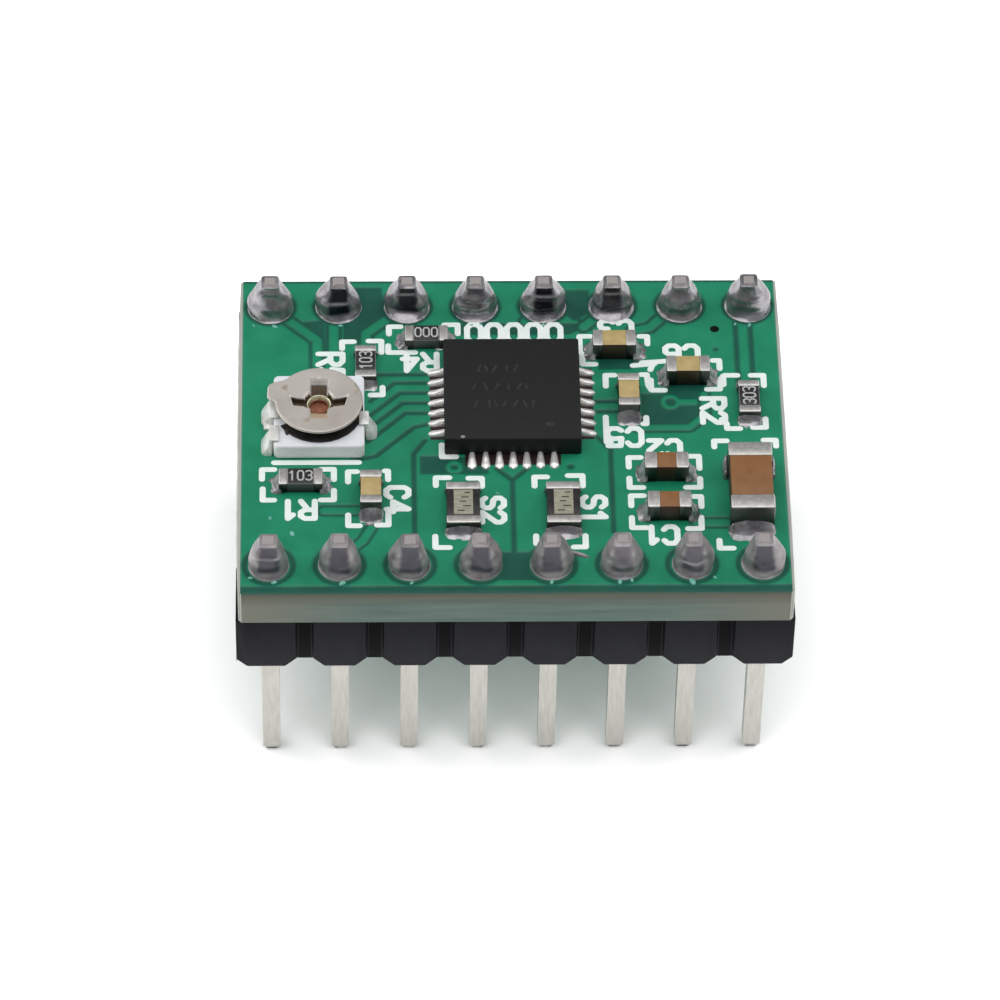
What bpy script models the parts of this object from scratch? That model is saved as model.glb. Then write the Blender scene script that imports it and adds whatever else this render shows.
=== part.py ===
"""Stepper driver module: a small green circuit board on two rows of header pins.

Lengths below are millimetres and become metres when a mesh is made. The origin is
midway between the two pin rows, at the level of the pin tips. +X runs along the
rows, +Y from the front row to the rear row, and +Z up.
"""

import math

import bmesh
import bpy
from mathutils import Vector

MM = 0.001

# Pin headers: the 0.1 inch grid that every carrier board and breadboard uses.
PITCH = 2.54
PIN_COUNT = 8
ROW_SPACING = 5 * PITCH
PIN_WIDTH = 0.64
PIN_LENGTH = 11.6
PIN_BELOW_BLOCK = 6.0
PIN_TIP_LENGTH = 0.35
PIN_TIP_WIDTH = 0.34
BLOCK_HEIGHT = 2.54
BLOCK_DEPTH = 2.5
BLOCK_OVERHANG = 1.21
BLOCK_GROOVE_WIDTH = 0.54
BLOCK_GROOVE_DEPTH = 0.45
BLOCK_NOTCH = 0.45

# Touching pieces keep this gap.
FIT_GAP = 0.02

# Circuit board.
BOARD_WIDTH = 20.0
BOARD_DEPTH = 15.36
BOARD_THICKNESS = 1.6
BOARD_CORNER = 0.12
HOLE_RADIUS = 0.55
BOARD_BOTTOM = PIN_BELOW_BLOCK + BLOCK_HEIGHT + FIT_GAP
BOARD_TOP = BOARD_BOTTOM + BOARD_THICKNESS
SEAT = BOARD_TOP + FIT_GAP

# Solder joints: a concave cone that climbs the pin and fills the plated hole.
SOLDER_FOOT_RADIUS = 0.80
SOLDER_PIN_BARE = 0.24
SOLDER_WALL = 0.06
ROUND_STEPS = 16

# Driver chip, a square no-lead package with its metal pad in a pocket below.
CHIP_CENTRE = (0.0, 1.43)
CHIP_SIZE = 5.0
CHIP_HEIGHT = 0.88
CHIP_EDGE = 0.06
CHIP_PAD_SIZE = 3.1
CHIP_PAD_HEIGHT = 0.2

# Trimmer: a single-turn potentiometer with a metal rotor riveted to its base.
TRIMMER_AXIS = (-7.08, 0.57)
TRIMMER_BASE_WIDTH = 3.32
TRIMMER_BASE_FRONT = -1.22
TRIMMER_BASE_BACK = 2.30
TRIMMER_BASE_HEIGHT = 0.66
TRIMMER_BASE_CORNER = 0.12
TRACK_INNER_RADIUS = 0.85
TRACK_OUTER_RADIUS = 1.62
TRACK_HEIGHT = 0.04
TRACK_ARC = math.radians(300)
WIPER_HEIGHT = 0.06
WIPER_OUTER_RADIUS = 1.10
ROTOR_RADIUS = 1.60
ROTOR_HEIGHT = 0.41
ROTOR_CUP_RADIUS = 1.28
ROTOR_RIM = 0.12
ROTOR_FLOOR = 0.08
ROTOR_TAB_REACH = 1.90
EYELET_HOLE_RADIUS = 0.26
EYELET_RADIUS = 0.34
EYELET_FLANGE_RADIUS = 0.47
EYELET_FLANGE_HEIGHT = 0.08
SLOT_HALF_WIDTH = 0.33
SLOT_REACH = 0.98
SLOT_ARM_REACH = 1.08
SLOT_ARM_SHOULDER = 0.57

TERMINAL_THICKNESS = 0.14
TERMINAL_REACH = 0.35
TERMINAL_HOOK = 0.22
TERMINAL_HOOK_THICKNESS = 0.08

# Heights of the trimmer's stack, each piece a gap above the one below it.
TRIMMER_BASE_TOP = SEAT + TRIMMER_BASE_HEIGHT
TRACK_BOTTOM = TRIMMER_BASE_TOP + FIT_GAP
WIPER_BOTTOM = TRACK_BOTTOM + TRACK_HEIGHT + FIT_GAP
ROTOR_BOTTOM = WIPER_BOTTOM + WIPER_HEIGHT + FIT_GAP
ROTOR_FLOOR_TOP = ROTOR_BOTTOM + ROTOR_FLOOR

# Chip parts by case size: length, width, end cap length.
CASE_0603 = (1.60, 0.80, 0.32)
CASE_0805 = (2.00, 1.25, 0.36)
CASE_1206 = (3.20, 1.60, 0.50)
CAP_LIP = 0.02
CHIP_PART_LIFT = 0.03

COLOURS = {
    "board": ((0.012, 0.250, 0.120), 0.40, 0.0),
    "black_plastic": ((0.020, 0.021, 0.025), 0.45, 0.0),
    "pin_metal": ((0.62, 0.60, 0.54), 0.28, 1.0),
    "solder": ((0.50, 0.50, 0.52), 0.25, 1.0),
    "chip_epoxy": ((0.018, 0.018, 0.020), 0.50, 0.0),
    "copper": ((0.70, 0.38, 0.22), 0.35, 1.0),
    "white_ceramic": ((0.75, 0.76, 0.78), 0.45, 0.0),
    "carbon_film": ((0.02, 0.02, 0.02), 0.60, 0.0),
    "nickel": ((0.60, 0.57, 0.52), 0.30, 1.0),
    "brass": ((0.72, 0.55, 0.25), 0.35, 1.0),
    "resistor_black": ((0.03, 0.03, 0.03), 0.45, 0.0),
    "capacitor_beige": ((0.42, 0.29, 0.12), 0.45, 0.0),
    "capacitor_brown": ((0.24, 0.11, 0.045), 0.45, 0.0),
}

# name: (centre, runs along X, case, height, material)
CHIP_PARTS = {
    "resistor_rear_left": ((-5.36, 3.18), False, CASE_0603, 0.50, "resistor_black"),
    "resistor_rear_centre": ((-3.11, 4.57), True, CASE_0603, 0.50, "resistor_black"),
    "resistor_right": ((8.73, 1.36), False, CASE_0603, 0.50, "resistor_black"),
    "resistor_front_left": ((-7.75, -2.50), True, CASE_0603, 0.50, "resistor_black"),
    "sense_resistor_left": ((-1.86, -3.83), False, CASE_0805, 0.55, "resistor_black"),
    "sense_resistor_right": ((1.77, -3.83), False, CASE_0805, 0.55, "resistor_black"),
    "capacitor_rear_centre": ((3.84, 4.03), True, CASE_0603, 0.80, "capacitor_beige"),
    "capacitor_rear_right": ((6.52, 2.72), True, CASE_0603, 0.80, "capacitor_beige"),
    "capacitor_beside_chip": ((4.30, 1.46), False, CASE_0603, 0.80, "capacitor_beige"),
    "capacitor_front_left": ((-5.20, -3.25), False, CASE_0603, 0.80, "capacitor_beige"),
    "capacitor_right_upper": ((5.56, -2.03), True, CASE_0603, 0.80, "capacitor_brown"),
    "capacitor_right_lower": ((5.60, -3.93), True, CASE_0603, 0.80, "capacitor_brown"),
    "supply_capacitor": ((8.58, -3.18), False, CASE_1206, 1.25, "capacitor_brown"),
}

# name: (side of the base, -1 left or +1 right; centre in Y; width)
TRIMMER_TERMINALS = {
    "trimmer_terminal_left_rear": (-1, 0.84, 0.76),
    "trimmer_terminal_left_front": (-1, -0.62, 0.76),
    "trimmer_terminal_right": (1, 0.12, 0.66),
}


def clear_scene():
    for item in list(bpy.data.objects):
        bpy.data.objects.remove(item, do_unlink=True)


def material(name):
    """The Principled material of one entry in COLOURS."""
    if name in bpy.data.materials:
        return bpy.data.materials[name]
    colour, roughness, metallic = COLOURS[name]
    made = bpy.data.materials.new(name)
    made.use_nodes = True
    shader = made.node_tree.nodes["Principled BSDF"]
    shader.inputs["Base Color"].default_value = (*colour, 1.0)
    shader.inputs["Roughness"].default_value = roughness
    shader.inputs["Metallic"].default_value = metallic
    return made


def finish_mesh(bm, name, round_piece):
    """A mesh in metres with its faces pointing out."""
    bmesh.ops.recalc_face_normals(bm, faces=bm.faces)
    bmesh.ops.scale(bm, vec=(MM, MM, MM), verts=bm.verts)
    mesh = bpy.data.meshes.new(name)
    bm.to_mesh(mesh)
    bm.free()
    if round_piece:
        mesh.shade_smooth()
        mesh.set_sharp_from_angle(angle=math.radians(35))
    return mesh


def place(name, mesh, material_name, at=(0.0, 0.0, 0.0), turn=0.0):
    """An object that shows a mesh, at a point in millimetres, turned about Z."""
    if not mesh.materials:
        mesh.materials.append(material(material_name))
    made = bpy.data.objects.new(name, mesh)
    made.location = Vector(at) * MM
    made.rotation_euler = (0.0, 0.0, turn)
    bpy.context.scene.collection.objects.link(made)
    return made


def loft(name, rings, close=False, round_piece=False):
    """One closed skin through rings of equally many points.

    The first and last rings are capped, or with close they are joined to each other,
    which makes a piece with a hole through it.
    """
    bm = bmesh.new()
    loops = [[bm.verts.new(point) for point in ring] for ring in rings]
    pairs = list(zip(loops, loops[1:]))
    if close:
        pairs.append((loops[-1], loops[0]))
    for lower, upper in pairs:
        for i, vert in enumerate(lower):
            j = (i + 1) % len(lower)
            bm.faces.new((vert, lower[j], upper[j], upper[i]))
    if not close:
        bm.faces.new(loops[0])
        bm.faces.new(loops[-1])
    return finish_mesh(bm, name, round_piece)


def plate(name, outline, holes, bottom, top, round_piece=False):
    """A flat plate with straight walls and through holes, from loops of (x, y)."""
    bm = bmesh.new()
    for loop in (outline, *holes):
        verts = [bm.verts.new((x, y, bottom)) for x, y in loop]
        for i, vert in enumerate(verts):
            bm.edges.new((vert, verts[(i + 1) % len(verts)]))
    bmesh.ops.triangle_fill(bm, use_beauty=True, edges=bm.edges[:])
    raised = bmesh.ops.extrude_face_region(bm, geom=bm.faces[:])["geom"]
    lifted = [item for item in raised if isinstance(item, bmesh.types.BMVert)]
    bmesh.ops.translate(bm, vec=(0.0, 0.0, top - bottom), verts=lifted)
    return finish_mesh(bm, name, round_piece)


def circle(radius, centre=(0.0, 0.0), steps=ROUND_STEPS):
    angles = [math.tau * i / steps for i in range(steps)]
    return [(centre[0] + radius * math.cos(a), centre[1] + radius * math.sin(a)) for a in angles]


def square(half, steps=ROUND_STEPS):
    """A square traced with the same directions as circle(), corners included."""
    points = []
    for x, y in circle(1.0, steps=steps):
        reach = half / max(abs(x), abs(y))
        points.append((x * reach, y * reach))
    return points


def blend(first, second, share):
    """A loop between two loops, share 0 giving the first and 1 the second."""
    return [
        (a[0] + (b[0] - a[0]) * share, a[1] + (b[1] - a[1]) * share)
        for a, b in zip(first, second)
    ]


def rectangle(half_x, half_y, centre=(0.0, 0.0)):
    x, y = centre
    return [
        (x - half_x, y - half_y),
        (x + half_x, y - half_y),
        (x + half_x, y + half_y),
        (x - half_x, y + half_y),
    ]


def clipped_rectangle(left, right, front, back, corner):
    """A rectangle whose four corners are cut at 45 degrees."""
    return [
        (left + corner, front),
        (right - corner, front),
        (right, front + corner),
        (right, back - corner),
        (right - corner, back),
        (left + corner, back),
        (left, back - corner),
        (left, front + corner),
    ]


def at_height(loop, z):
    return [(x, y, z) for x, y in loop]


def combine(target, guide, operation="DIFFERENCE"):
    """Take the guide's volume out of the target, or with UNION add it."""
    guide.hide_render = True
    guide.display_type = "WIRE"
    modifier = target.modifiers.new(operation.lower(), "BOOLEAN")
    modifier.operation = operation
    modifier.solver = "EXACT"
    modifier.object = guide


def pin_positions():
    """The X of each pin, left to right."""
    return [PITCH * (i - (PIN_COUNT - 1) / 2) for i in range(PIN_COUNT)]


def rows():
    """The name and Y of each row."""
    return (("front", -ROW_SPACING / 2), ("rear", ROW_SPACING / 2))


def make_board():
    holes = [circle(HOLE_RADIUS, (x, y)) for _, y in rows() for x in pin_positions()]
    half_x, half_y = BOARD_WIDTH / 2, BOARD_DEPTH / 2
    outline = clipped_rectangle(-half_x, half_x, -half_y, half_y, BOARD_CORNER)
    mesh = plate("circuit_board", outline, holes, BOARD_BOTTOM, BOARD_TOP)
    place("circuit_board", mesh, "board")


def block_outline():
    """Plan of a header block: straight faces with a narrow groove between positions."""
    half_depth = BLOCK_DEPTH / 2
    neck = half_depth - BLOCK_GROOVE_DEPTH
    mouth, floor = BLOCK_GROOVE_WIDTH / 2, BLOCK_GROOVE_WIDTH / 3
    end = pin_positions()[-1] + BLOCK_OVERHANG
    grooves = [x + PITCH / 2 for x in pin_positions()[:-1]]
    front = [(-end, -half_depth)]
    for x in grooves:
        front += [
            (x - mouth, -half_depth),
            (x - floor, -neck),
            (x + floor, -neck),
            (x + mouth, -half_depth),
        ]
    front.append((end, -half_depth))
    back = [(x, -y) for x, y in reversed(front)]
    return front + back


def notch_comb(name, y):
    """V notches across the bottom of a block, and a bevel at both of its ends."""
    end = pin_positions()[-1] + BLOCK_OVERHANG
    centres = [-end, *[x + PITCH / 2 for x in pin_positions()[:-1]], end]
    bm = bmesh.new()
    for x in centres:
        reach = 2 * BLOCK_NOTCH
        section = ((x - reach, -BLOCK_NOTCH), (x + reach, -BLOCK_NOTCH), (x, BLOCK_NOTCH))
        ends = [
            [bm.verts.new((sx, side, PIN_BELOW_BLOCK + sz)) for sx, sz in section]
            for side in (-BLOCK_DEPTH, BLOCK_DEPTH)
        ]
        bm.faces.new(ends[0])
        bm.faces.new(ends[1])
        for i in range(3):
            j = (i + 1) % 3
            bm.faces.new((ends[0][i], ends[0][j], ends[1][j], ends[1][i]))
    return place(name, finish_mesh(bm, name, False), "black_plastic", (0.0, y, 0.0))


def make_header_blocks():
    half = PIN_WIDTH / 2 + FIT_GAP
    holes = [rectangle(half, half, (x, 0.0)) for x in pin_positions()]
    top = PIN_BELOW_BLOCK + BLOCK_HEIGHT
    mesh = plate("header_block", block_outline(), holes, PIN_BELOW_BLOCK, top)
    for row, y in rows():
        block = place("header_block_" + row, mesh, "black_plastic", (0.0, y, 0.0))
        combine(block, notch_comb("notches_" + row, y))


def pin_mesh():
    half, tip = PIN_WIDTH / 2, PIN_TIP_WIDTH / 2
    levels = (
        (tip, 0.0),
        (half, PIN_TIP_LENGTH),
        (half, PIN_LENGTH - PIN_TIP_LENGTH),
        (tip, PIN_LENGTH),
    )
    return loft("header_pin", [at_height(rectangle(size, size), z) for size, z in levels])


def solder_mesh():
    """One joint: a sleeve in the plated hole, a round foot, and a cone up the pin."""
    half = PIN_WIDTH / 2 + FIT_GAP
    hole, foot = HOLE_RADIUS - FIT_GAP, SOLDER_FOOT_RADIUS
    top = PIN_LENGTH - SOLDER_PIN_BARE
    rise = top - SEAT
    collar = square(half + SOLDER_WALL)
    rings = [
        at_height(square(half), BOARD_BOTTOM + FIT_GAP),
        at_height(circle(hole), BOARD_BOTTOM + FIT_GAP),
        at_height(circle(hole), SEAT),
        at_height(circle(foot), SEAT),
        at_height(blend(circle(foot), collar, 0.25), SEAT + 0.12 * rise),
        at_height(blend(circle(foot), collar, 0.60), SEAT + 0.38 * rise),
        at_height(blend(circle(foot), collar, 0.85), SEAT + 0.70 * rise),
        at_height(collar, top - 0.06),
        at_height(square(half), top),
    ]
    return loft("solder_joint", rings, close=True, round_piece=True)


def make_pins_and_joints():
    pin, joint = pin_mesh(), solder_mesh()
    for row, y in rows():
        for number, x in enumerate(pin_positions(), start=1):
            place(f"header_pin_{row}_{number}", pin, "pin_metal", (x, y, 0.0))
            place(f"solder_joint_{row}_{number}", joint, "solder", (x, y, 0.0))


def make_driver_chip():
    pocket = CHIP_PAD_SIZE / 2 + FIT_GAP
    half = CHIP_SIZE / 2
    bottom = SEAT
    levels = (
        (pocket, bottom + CHIP_PAD_HEIGHT + FIT_GAP),
        (pocket, bottom),
        (half, bottom),
        (half, bottom + CHIP_HEIGHT - CHIP_EDGE),
        (half - CHIP_EDGE, bottom + CHIP_HEIGHT),
    )
    body = loft("driver_chip_body", [at_height(rectangle(s, s), z) for s, z in levels])
    place("driver_chip_body", body, "chip_epoxy", (*CHIP_CENTRE, 0.0))
    half_pad = rectangle(CHIP_PAD_SIZE / 2, CHIP_PAD_SIZE / 2)
    pad = plate("driver_chip_heat_pad", half_pad, (), bottom, bottom + CHIP_PAD_HEIGHT)
    place("driver_chip_heat_pad", pad, "copper", (*CHIP_CENTRE, 0.0))


def chip_part_mesh(name, case, height):
    """A chip part along X: a body between two end caps that stand a lip proud of it."""
    length, width, cap = case
    stations = (
        (-length / 2, 0.0),
        (-length / 2 + cap, 0.0),
        (-length / 2 + cap, CAP_LIP),
        (length / 2 - cap, CAP_LIP),
        (length / 2 - cap, 0.0),
        (length / 2, 0.0),
    )
    rings = []
    for x, inset in stations:
        half, low, high = width / 2 - inset, inset, height - inset
        rings.append([(x, -half, low), (x, half, low), (x, half, high), (x, -half, high)])
    return loft(name, rings)


def make_chip_parts():
    bottom = BOARD_TOP + CHIP_PART_LIFT
    for name, (centre, along_x, case, height, look) in CHIP_PARTS.items():
        turn = 0.0 if along_x else math.pi / 2
        place(name, chip_part_mesh(name, case, height), look, (*centre, bottom), turn)


def make_trimmer_base():
    half = TRIMMER_BASE_WIDTH / 2
    left, right = TRIMMER_AXIS[0] - half, TRIMMER_AXIS[0] + half
    outline = clipped_rectangle(
        left, right, TRIMMER_BASE_FRONT, TRIMMER_BASE_BACK, TRIMMER_BASE_CORNER
    )
    hole = circle(EYELET_RADIUS + FIT_GAP, TRIMMER_AXIS)
    mesh = plate("trimmer_base", outline, [hole], SEAT, TRIMMER_BASE_TOP)
    place("trimmer_base", mesh, "white_ceramic")


def make_trimmer_track():
    """The resistive film: most of a ring, open on the left where its ends are."""
    steps = 24
    start = math.pi + (math.tau - TRACK_ARC) / 2
    angles = [start + TRACK_ARC * i / steps for i in range(steps + 1)]
    outer = [(TRACK_OUTER_RADIUS * math.cos(a), TRACK_OUTER_RADIUS * math.sin(a)) for a in angles]
    inner = [(TRACK_INNER_RADIUS * math.cos(a), TRACK_INNER_RADIUS * math.sin(a)) for a in angles]
    mesh = plate(
        "trimmer_track", outer + inner[::-1], (), TRACK_BOTTOM, TRACK_BOTTOM + TRACK_HEIGHT
    )
    place("trimmer_track", mesh, "carbon_film", (*TRIMMER_AXIS, 0.0))


def turned(name, profile, steps=2 * ROUND_STEPS):
    """A turned ring from (radius, height) pairs that run once around its section."""
    rings = [at_height(circle(radius, steps=steps), z) for radius, z in profile]
    return loft(name, rings, close=True, round_piece=True)


def slot_outline():
    """The cross slot: straight arms front and rear, pointed arms left and right."""
    right = [
        (SLOT_HALF_WIDTH, -SLOT_REACH),
        (SLOT_HALF_WIDTH, -0.45),
        (SLOT_ARM_SHOULDER, -0.34),
        (SLOT_ARM_REACH - 0.12, -0.28),
        (SLOT_ARM_REACH, 0.27),
        (SLOT_ARM_SHOULDER, 0.13),
        (SLOT_HALF_WIDTH, 0.45),
        (SLOT_HALF_WIDTH, SLOT_REACH),
    ]
    return right + [(-x, y) for x, y in reversed(right)]


def tab_outline():
    """The rotor's tab, which shows how far it is turned: broad at the disc, to the left."""
    return [
        (-1.45, -0.10),
        (-ROTOR_TAB_REACH + 0.08, 0.06),
        (-ROTOR_TAB_REACH, 0.16),
        (-ROTOR_TAB_REACH + 0.03, 0.72),
        (-ROTOR_TAB_REACH + 0.14, 0.86),
        (-1.10, 1.05),
    ]


def make_trimmer_rotor(axis):
    """A disc with a thin rim and a tab, deeper in the middle where it is slotted."""
    low, high = ROTOR_BOTTOM, ROTOR_BOTTOM + ROTOR_HEIGHT
    hole = EYELET_RADIUS + FIT_GAP
    edge = 0.03
    profile = (
        (hole, low),
        (ROTOR_CUP_RADIUS, low),
        (ROTOR_CUP_RADIUS, high - ROTOR_RIM),
        (ROTOR_RADIUS, high - ROTOR_RIM),
        (ROTOR_RADIUS, high - edge),
        (ROTOR_RADIUS - edge, high),
        (hole, high),
    )
    rotor = place("trimmer_rotor", turned("trimmer_rotor", profile), "nickel")
    tab_mesh = plate("rotor_tab", tab_outline(), (), high - ROTOR_RIM + 0.01, high - 0.01)
    tab = place("rotor_tab", tab_mesh, "nickel")
    slot_mesh = plate("rotor_slot", slot_outline(), (), ROTOR_FLOOR_TOP, high + ROTOR_HEIGHT)
    slot = place("rotor_slot", slot_mesh, "nickel")
    rotor.parent = tab.parent = slot.parent = axis
    combine(rotor, tab, "UNION")
    combine(rotor, slot)


def make_trimmer_wiper(axis):
    """The spring washer under the rotor that carries its contact."""
    low, high = WIPER_BOTTOM, WIPER_BOTTOM + WIPER_HEIGHT
    inner = EYELET_RADIUS + FIT_GAP
    sheet = 0.03
    profile = (
        (inner, high),
        (inner, high - sheet),
        (WIPER_OUTER_RADIUS, low),
        (WIPER_OUTER_RADIUS, low + sheet),
    )
    wiper = place("trimmer_wiper", turned("trimmer_wiper", profile), "brass")
    wiper.parent = axis


def make_trimmer_eyelet():
    """The hollow rivet that holds the rotor to the base, flared like a funnel."""
    flange_bottom = ROTOR_FLOOR_TOP + FIT_GAP
    flange_top = flange_bottom + EYELET_FLANGE_HEIGHT
    lip, flare = 0.04, 0.24
    profile = (
        (EYELET_HOLE_RADIUS, SEAT),
        (EYELET_RADIUS, SEAT),
        (EYELET_RADIUS, flange_bottom),
        (EYELET_FLANGE_RADIUS, flange_bottom),
        (EYELET_FLANGE_RADIUS, flange_top - lip),
        (EYELET_FLANGE_RADIUS - lip, flange_top),
        (EYELET_HOLE_RADIUS, flange_top - flare),
    )
    mesh = turned("trimmer_eyelet", profile)
    place("trimmer_eyelet", mesh, "brass", (*TRIMMER_AXIS, 0.0))


def terminal_mesh(name, side, width):
    """A strip from a foot on the board, up the base's side and over its top edge."""
    inner = TRIMMER_BASE_WIDTH / 2 + FIT_GAP
    outer, foot = inner + TERMINAL_THICKNESS, inner + TERMINAL_REACH
    low, bend = SEAT, SEAT + TERMINAL_THICKNESS
    ledge = TRIMMER_BASE_TOP + FIT_GAP
    high = ledge + TERMINAL_HOOK_THICKNESS
    hook = inner - TERMINAL_HOOK
    section = (
        (inner, low),
        (foot, low),
        (foot, bend),
        (outer, bend),
        (outer, high),
        (hook, high),
        (hook, ledge),
        (inner, ledge),
    )
    ends = [[(side * x, y, z) for x, z in section] for y in (-width / 2, width / 2)]
    return loft(name, ends)


def make_trimmer_terminals():
    for name, (side, y, width) in TRIMMER_TERMINALS.items():
        mesh = terminal_mesh(name, side, width)
        place(name, mesh, "nickel", (TRIMMER_AXIS[0], y, 0.0))


def make_trimmer():
    axis = bpy.data.objects.new("trimmer_axis", None)
    axis.location = Vector((*TRIMMER_AXIS, 0.0)) * MM
    bpy.context.scene.collection.objects.link(axis)
    make_trimmer_base()
    make_trimmer_track()
    make_trimmer_rotor(axis)
    make_trimmer_wiper(axis)
    make_trimmer_eyelet()
    make_trimmer_terminals()


def main():
    clear_scene()
    make_board()
    make_header_blocks()
    make_pins_and_joints()
    make_driver_chip()
    make_chip_parts()
    make_trimmer()


main()
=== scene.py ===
"""Looks of the stepper driver module: board, solder, chip, chip parts and trimmer.

Plan positions are millimetres in the model's own frame, and heights are millimetres
above the board's top face. mm() turns both into the frame's metres.
"""

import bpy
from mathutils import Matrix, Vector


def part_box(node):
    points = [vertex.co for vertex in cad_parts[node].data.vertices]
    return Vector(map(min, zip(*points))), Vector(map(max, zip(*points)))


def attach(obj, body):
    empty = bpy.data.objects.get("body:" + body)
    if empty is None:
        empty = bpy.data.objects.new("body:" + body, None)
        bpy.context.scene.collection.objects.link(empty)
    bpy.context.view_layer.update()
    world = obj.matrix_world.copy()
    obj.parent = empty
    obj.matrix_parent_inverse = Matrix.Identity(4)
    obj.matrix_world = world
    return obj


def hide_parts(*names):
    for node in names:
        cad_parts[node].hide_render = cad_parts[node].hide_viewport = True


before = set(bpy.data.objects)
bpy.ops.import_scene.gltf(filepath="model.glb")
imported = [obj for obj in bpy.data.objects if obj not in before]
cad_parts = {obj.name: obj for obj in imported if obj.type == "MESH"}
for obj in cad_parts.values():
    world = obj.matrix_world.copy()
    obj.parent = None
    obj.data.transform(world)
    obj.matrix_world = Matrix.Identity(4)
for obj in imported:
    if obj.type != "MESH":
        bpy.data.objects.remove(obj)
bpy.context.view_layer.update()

import math
import random

import bmesh
import bpy
import numpy as np
from mathutils import Matrix, Vector, noise
from mathutils.geometry import delaunay_2d_cdt

MM = 0.001
FIXED, TURNING = "module", "rotor"

# Camera: where it looks, from where, and how long its lens is.
CAMERA_TARGET = (-0.39, 0.24, 6.2)
CAMERA_DISTANCE = 238.4
CAMERA_YAW = math.radians(-2.08)
CAMERA_ELEVATION = math.radians(48.6)
CAMERA_ROLL = math.radians(1.33)
CAMERA_LENS = 231.2
SENSOR_WIDTH = 36.0

# Board relief: bare laminate under the mask, and mask over copper.
GRID_STEP = 0.06
UNDERSIDE_STEP = 0.12
LAMINATE_LEVEL = 0.004
COPPER_LEVEL = 0.028
COPPER_EDGE = 0.05
SILK_LEVEL = 0.043
SILK_WIDTH = 0.225

MASK_ON_COPPER = ((0.0085, 0.22, 0.11), (0.0145, 0.268, 0.141))
MASK_ON_LAMINATE = ((0.007, 0.082, 0.056), (0.011, 0.108, 0.072))

# Solder joints on the pins: radius of the foot and of the mask's opening, half the pin, and how
# much wider the rear ones swell.
FOOT_RADIUS = 0.78
FOOT_OPENING = 0.72
PIN_HALF = 0.32
REAR_SWELL = 1.11
JOINT_STEPS = 48
# Each row is a height, then half the joint's width there and half its depth.
JOINT_PROFILE = (
    (0.03, 0.76, 0.78), (0.07, 0.725, 0.735), (0.16, 0.725, 0.695), (0.28, 0.735, 0.655),
    (0.42, 0.73, 0.61), (0.56, 0.705, 0.56), (0.7, 0.655, 0.505), (0.84, 0.585, 0.455), (0.98, 0.5, 0.41),
    (1.12, 0.415, 0.37), (1.25, 0.35, 0.34), (1.35, 0.325, 0.325),
)
# A joint's front: how dark the painted dark reflection on it is, its ridge's height and size, and how far its
# foot flares; a painted highlight line runs just above the ridge.
PLAIN_FRONT = (0.9, 0.3, 0.0, 0.04)
JOINT_FRONTS = {
    "front_1": (0.9, 0.8, 0.02, 0.04), "front_6": (0.66, 0.3, 0.0, 0.05),
    "front_7": (0.8, 0.55, 0.01, 0.04), "rear_1": (0.22, 1.12, 0.03, 0.03),
    "rear_2": (1.0, 0.66, 0.06, 0.08), "rear_3": (0.92, 1.02, 0.01, 0.19),
    "rear_4": (0.28, 0.88, 0.03, 0.08), "rear_5": (1.0, 0.93, 0.05, 0.09), "rear_6": (0.8, 1.02, 0.01, 0.2),
    "rear_7": (0.1, 0.8, 0.02, 0.06), "rear_8": (0.26, 0.78, 0.03, 0.06),
}

# The chip's solder toes: pitch, then a toe's length, and half its width and its height at both ends.
LEAD_PITCH = 0.5
LEADS_PER_SIDE = 7
FRONT_TOES = (0.74, (0.1, 0.195), (0.16, 0.1))
OTHER_TOES = (0.62, (0.14, 0.14), (0.3, 0.1))

# How far chip parts stand off the board, and the angle from which an edge stays sharp.
PART_LIFT = 0.03
SMOOTH_ANGLE = math.radians(40)

rng = random.Random(4)


def node_centre(name):
    """The middle of a CAD node in millimetres."""
    low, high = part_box(name)
    return tuple((low[i] + high[i]) / 2 / MM for i in range(3))


def node_size(name):
    low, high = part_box(name)
    return tuple((high[i] - low[i]) / MM for i in range(3))


BOARD_BOTTOM, BOARD_TOP = (corner[2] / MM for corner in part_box("circuit_board"))
BOARD_HALF_X, BOARD_HALF_Y = (size / 2 for size in node_size("circuit_board")[:2])


def node_heights(name):
    """The lowest and highest height of a CAD node over the board."""
    return [corner[2] / MM - BOARD_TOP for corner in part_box(name)]


PIN_NAMES = [f"{row}_{number}" for row in ("front", "rear") for number in range(1, 9)]
PIN_PLACES = {name: node_centre("header_pin_" + name)[:2] for name in PIN_NAMES}


def mm(x, y, height=0.0):
    """A point over the board, in the frame's metres."""
    return Vector((x * MM, y * MM, (BOARD_TOP + height) * MM))


# ---------------------------------------------------------------- materials

BLACK, WHITE = (0.0, 0.0, 0.0), (1.0, 1.0, 1.0)
# The finished materials by name, kept here because the CAD's own materials may share a name.
MATERIALS = {}


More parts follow.
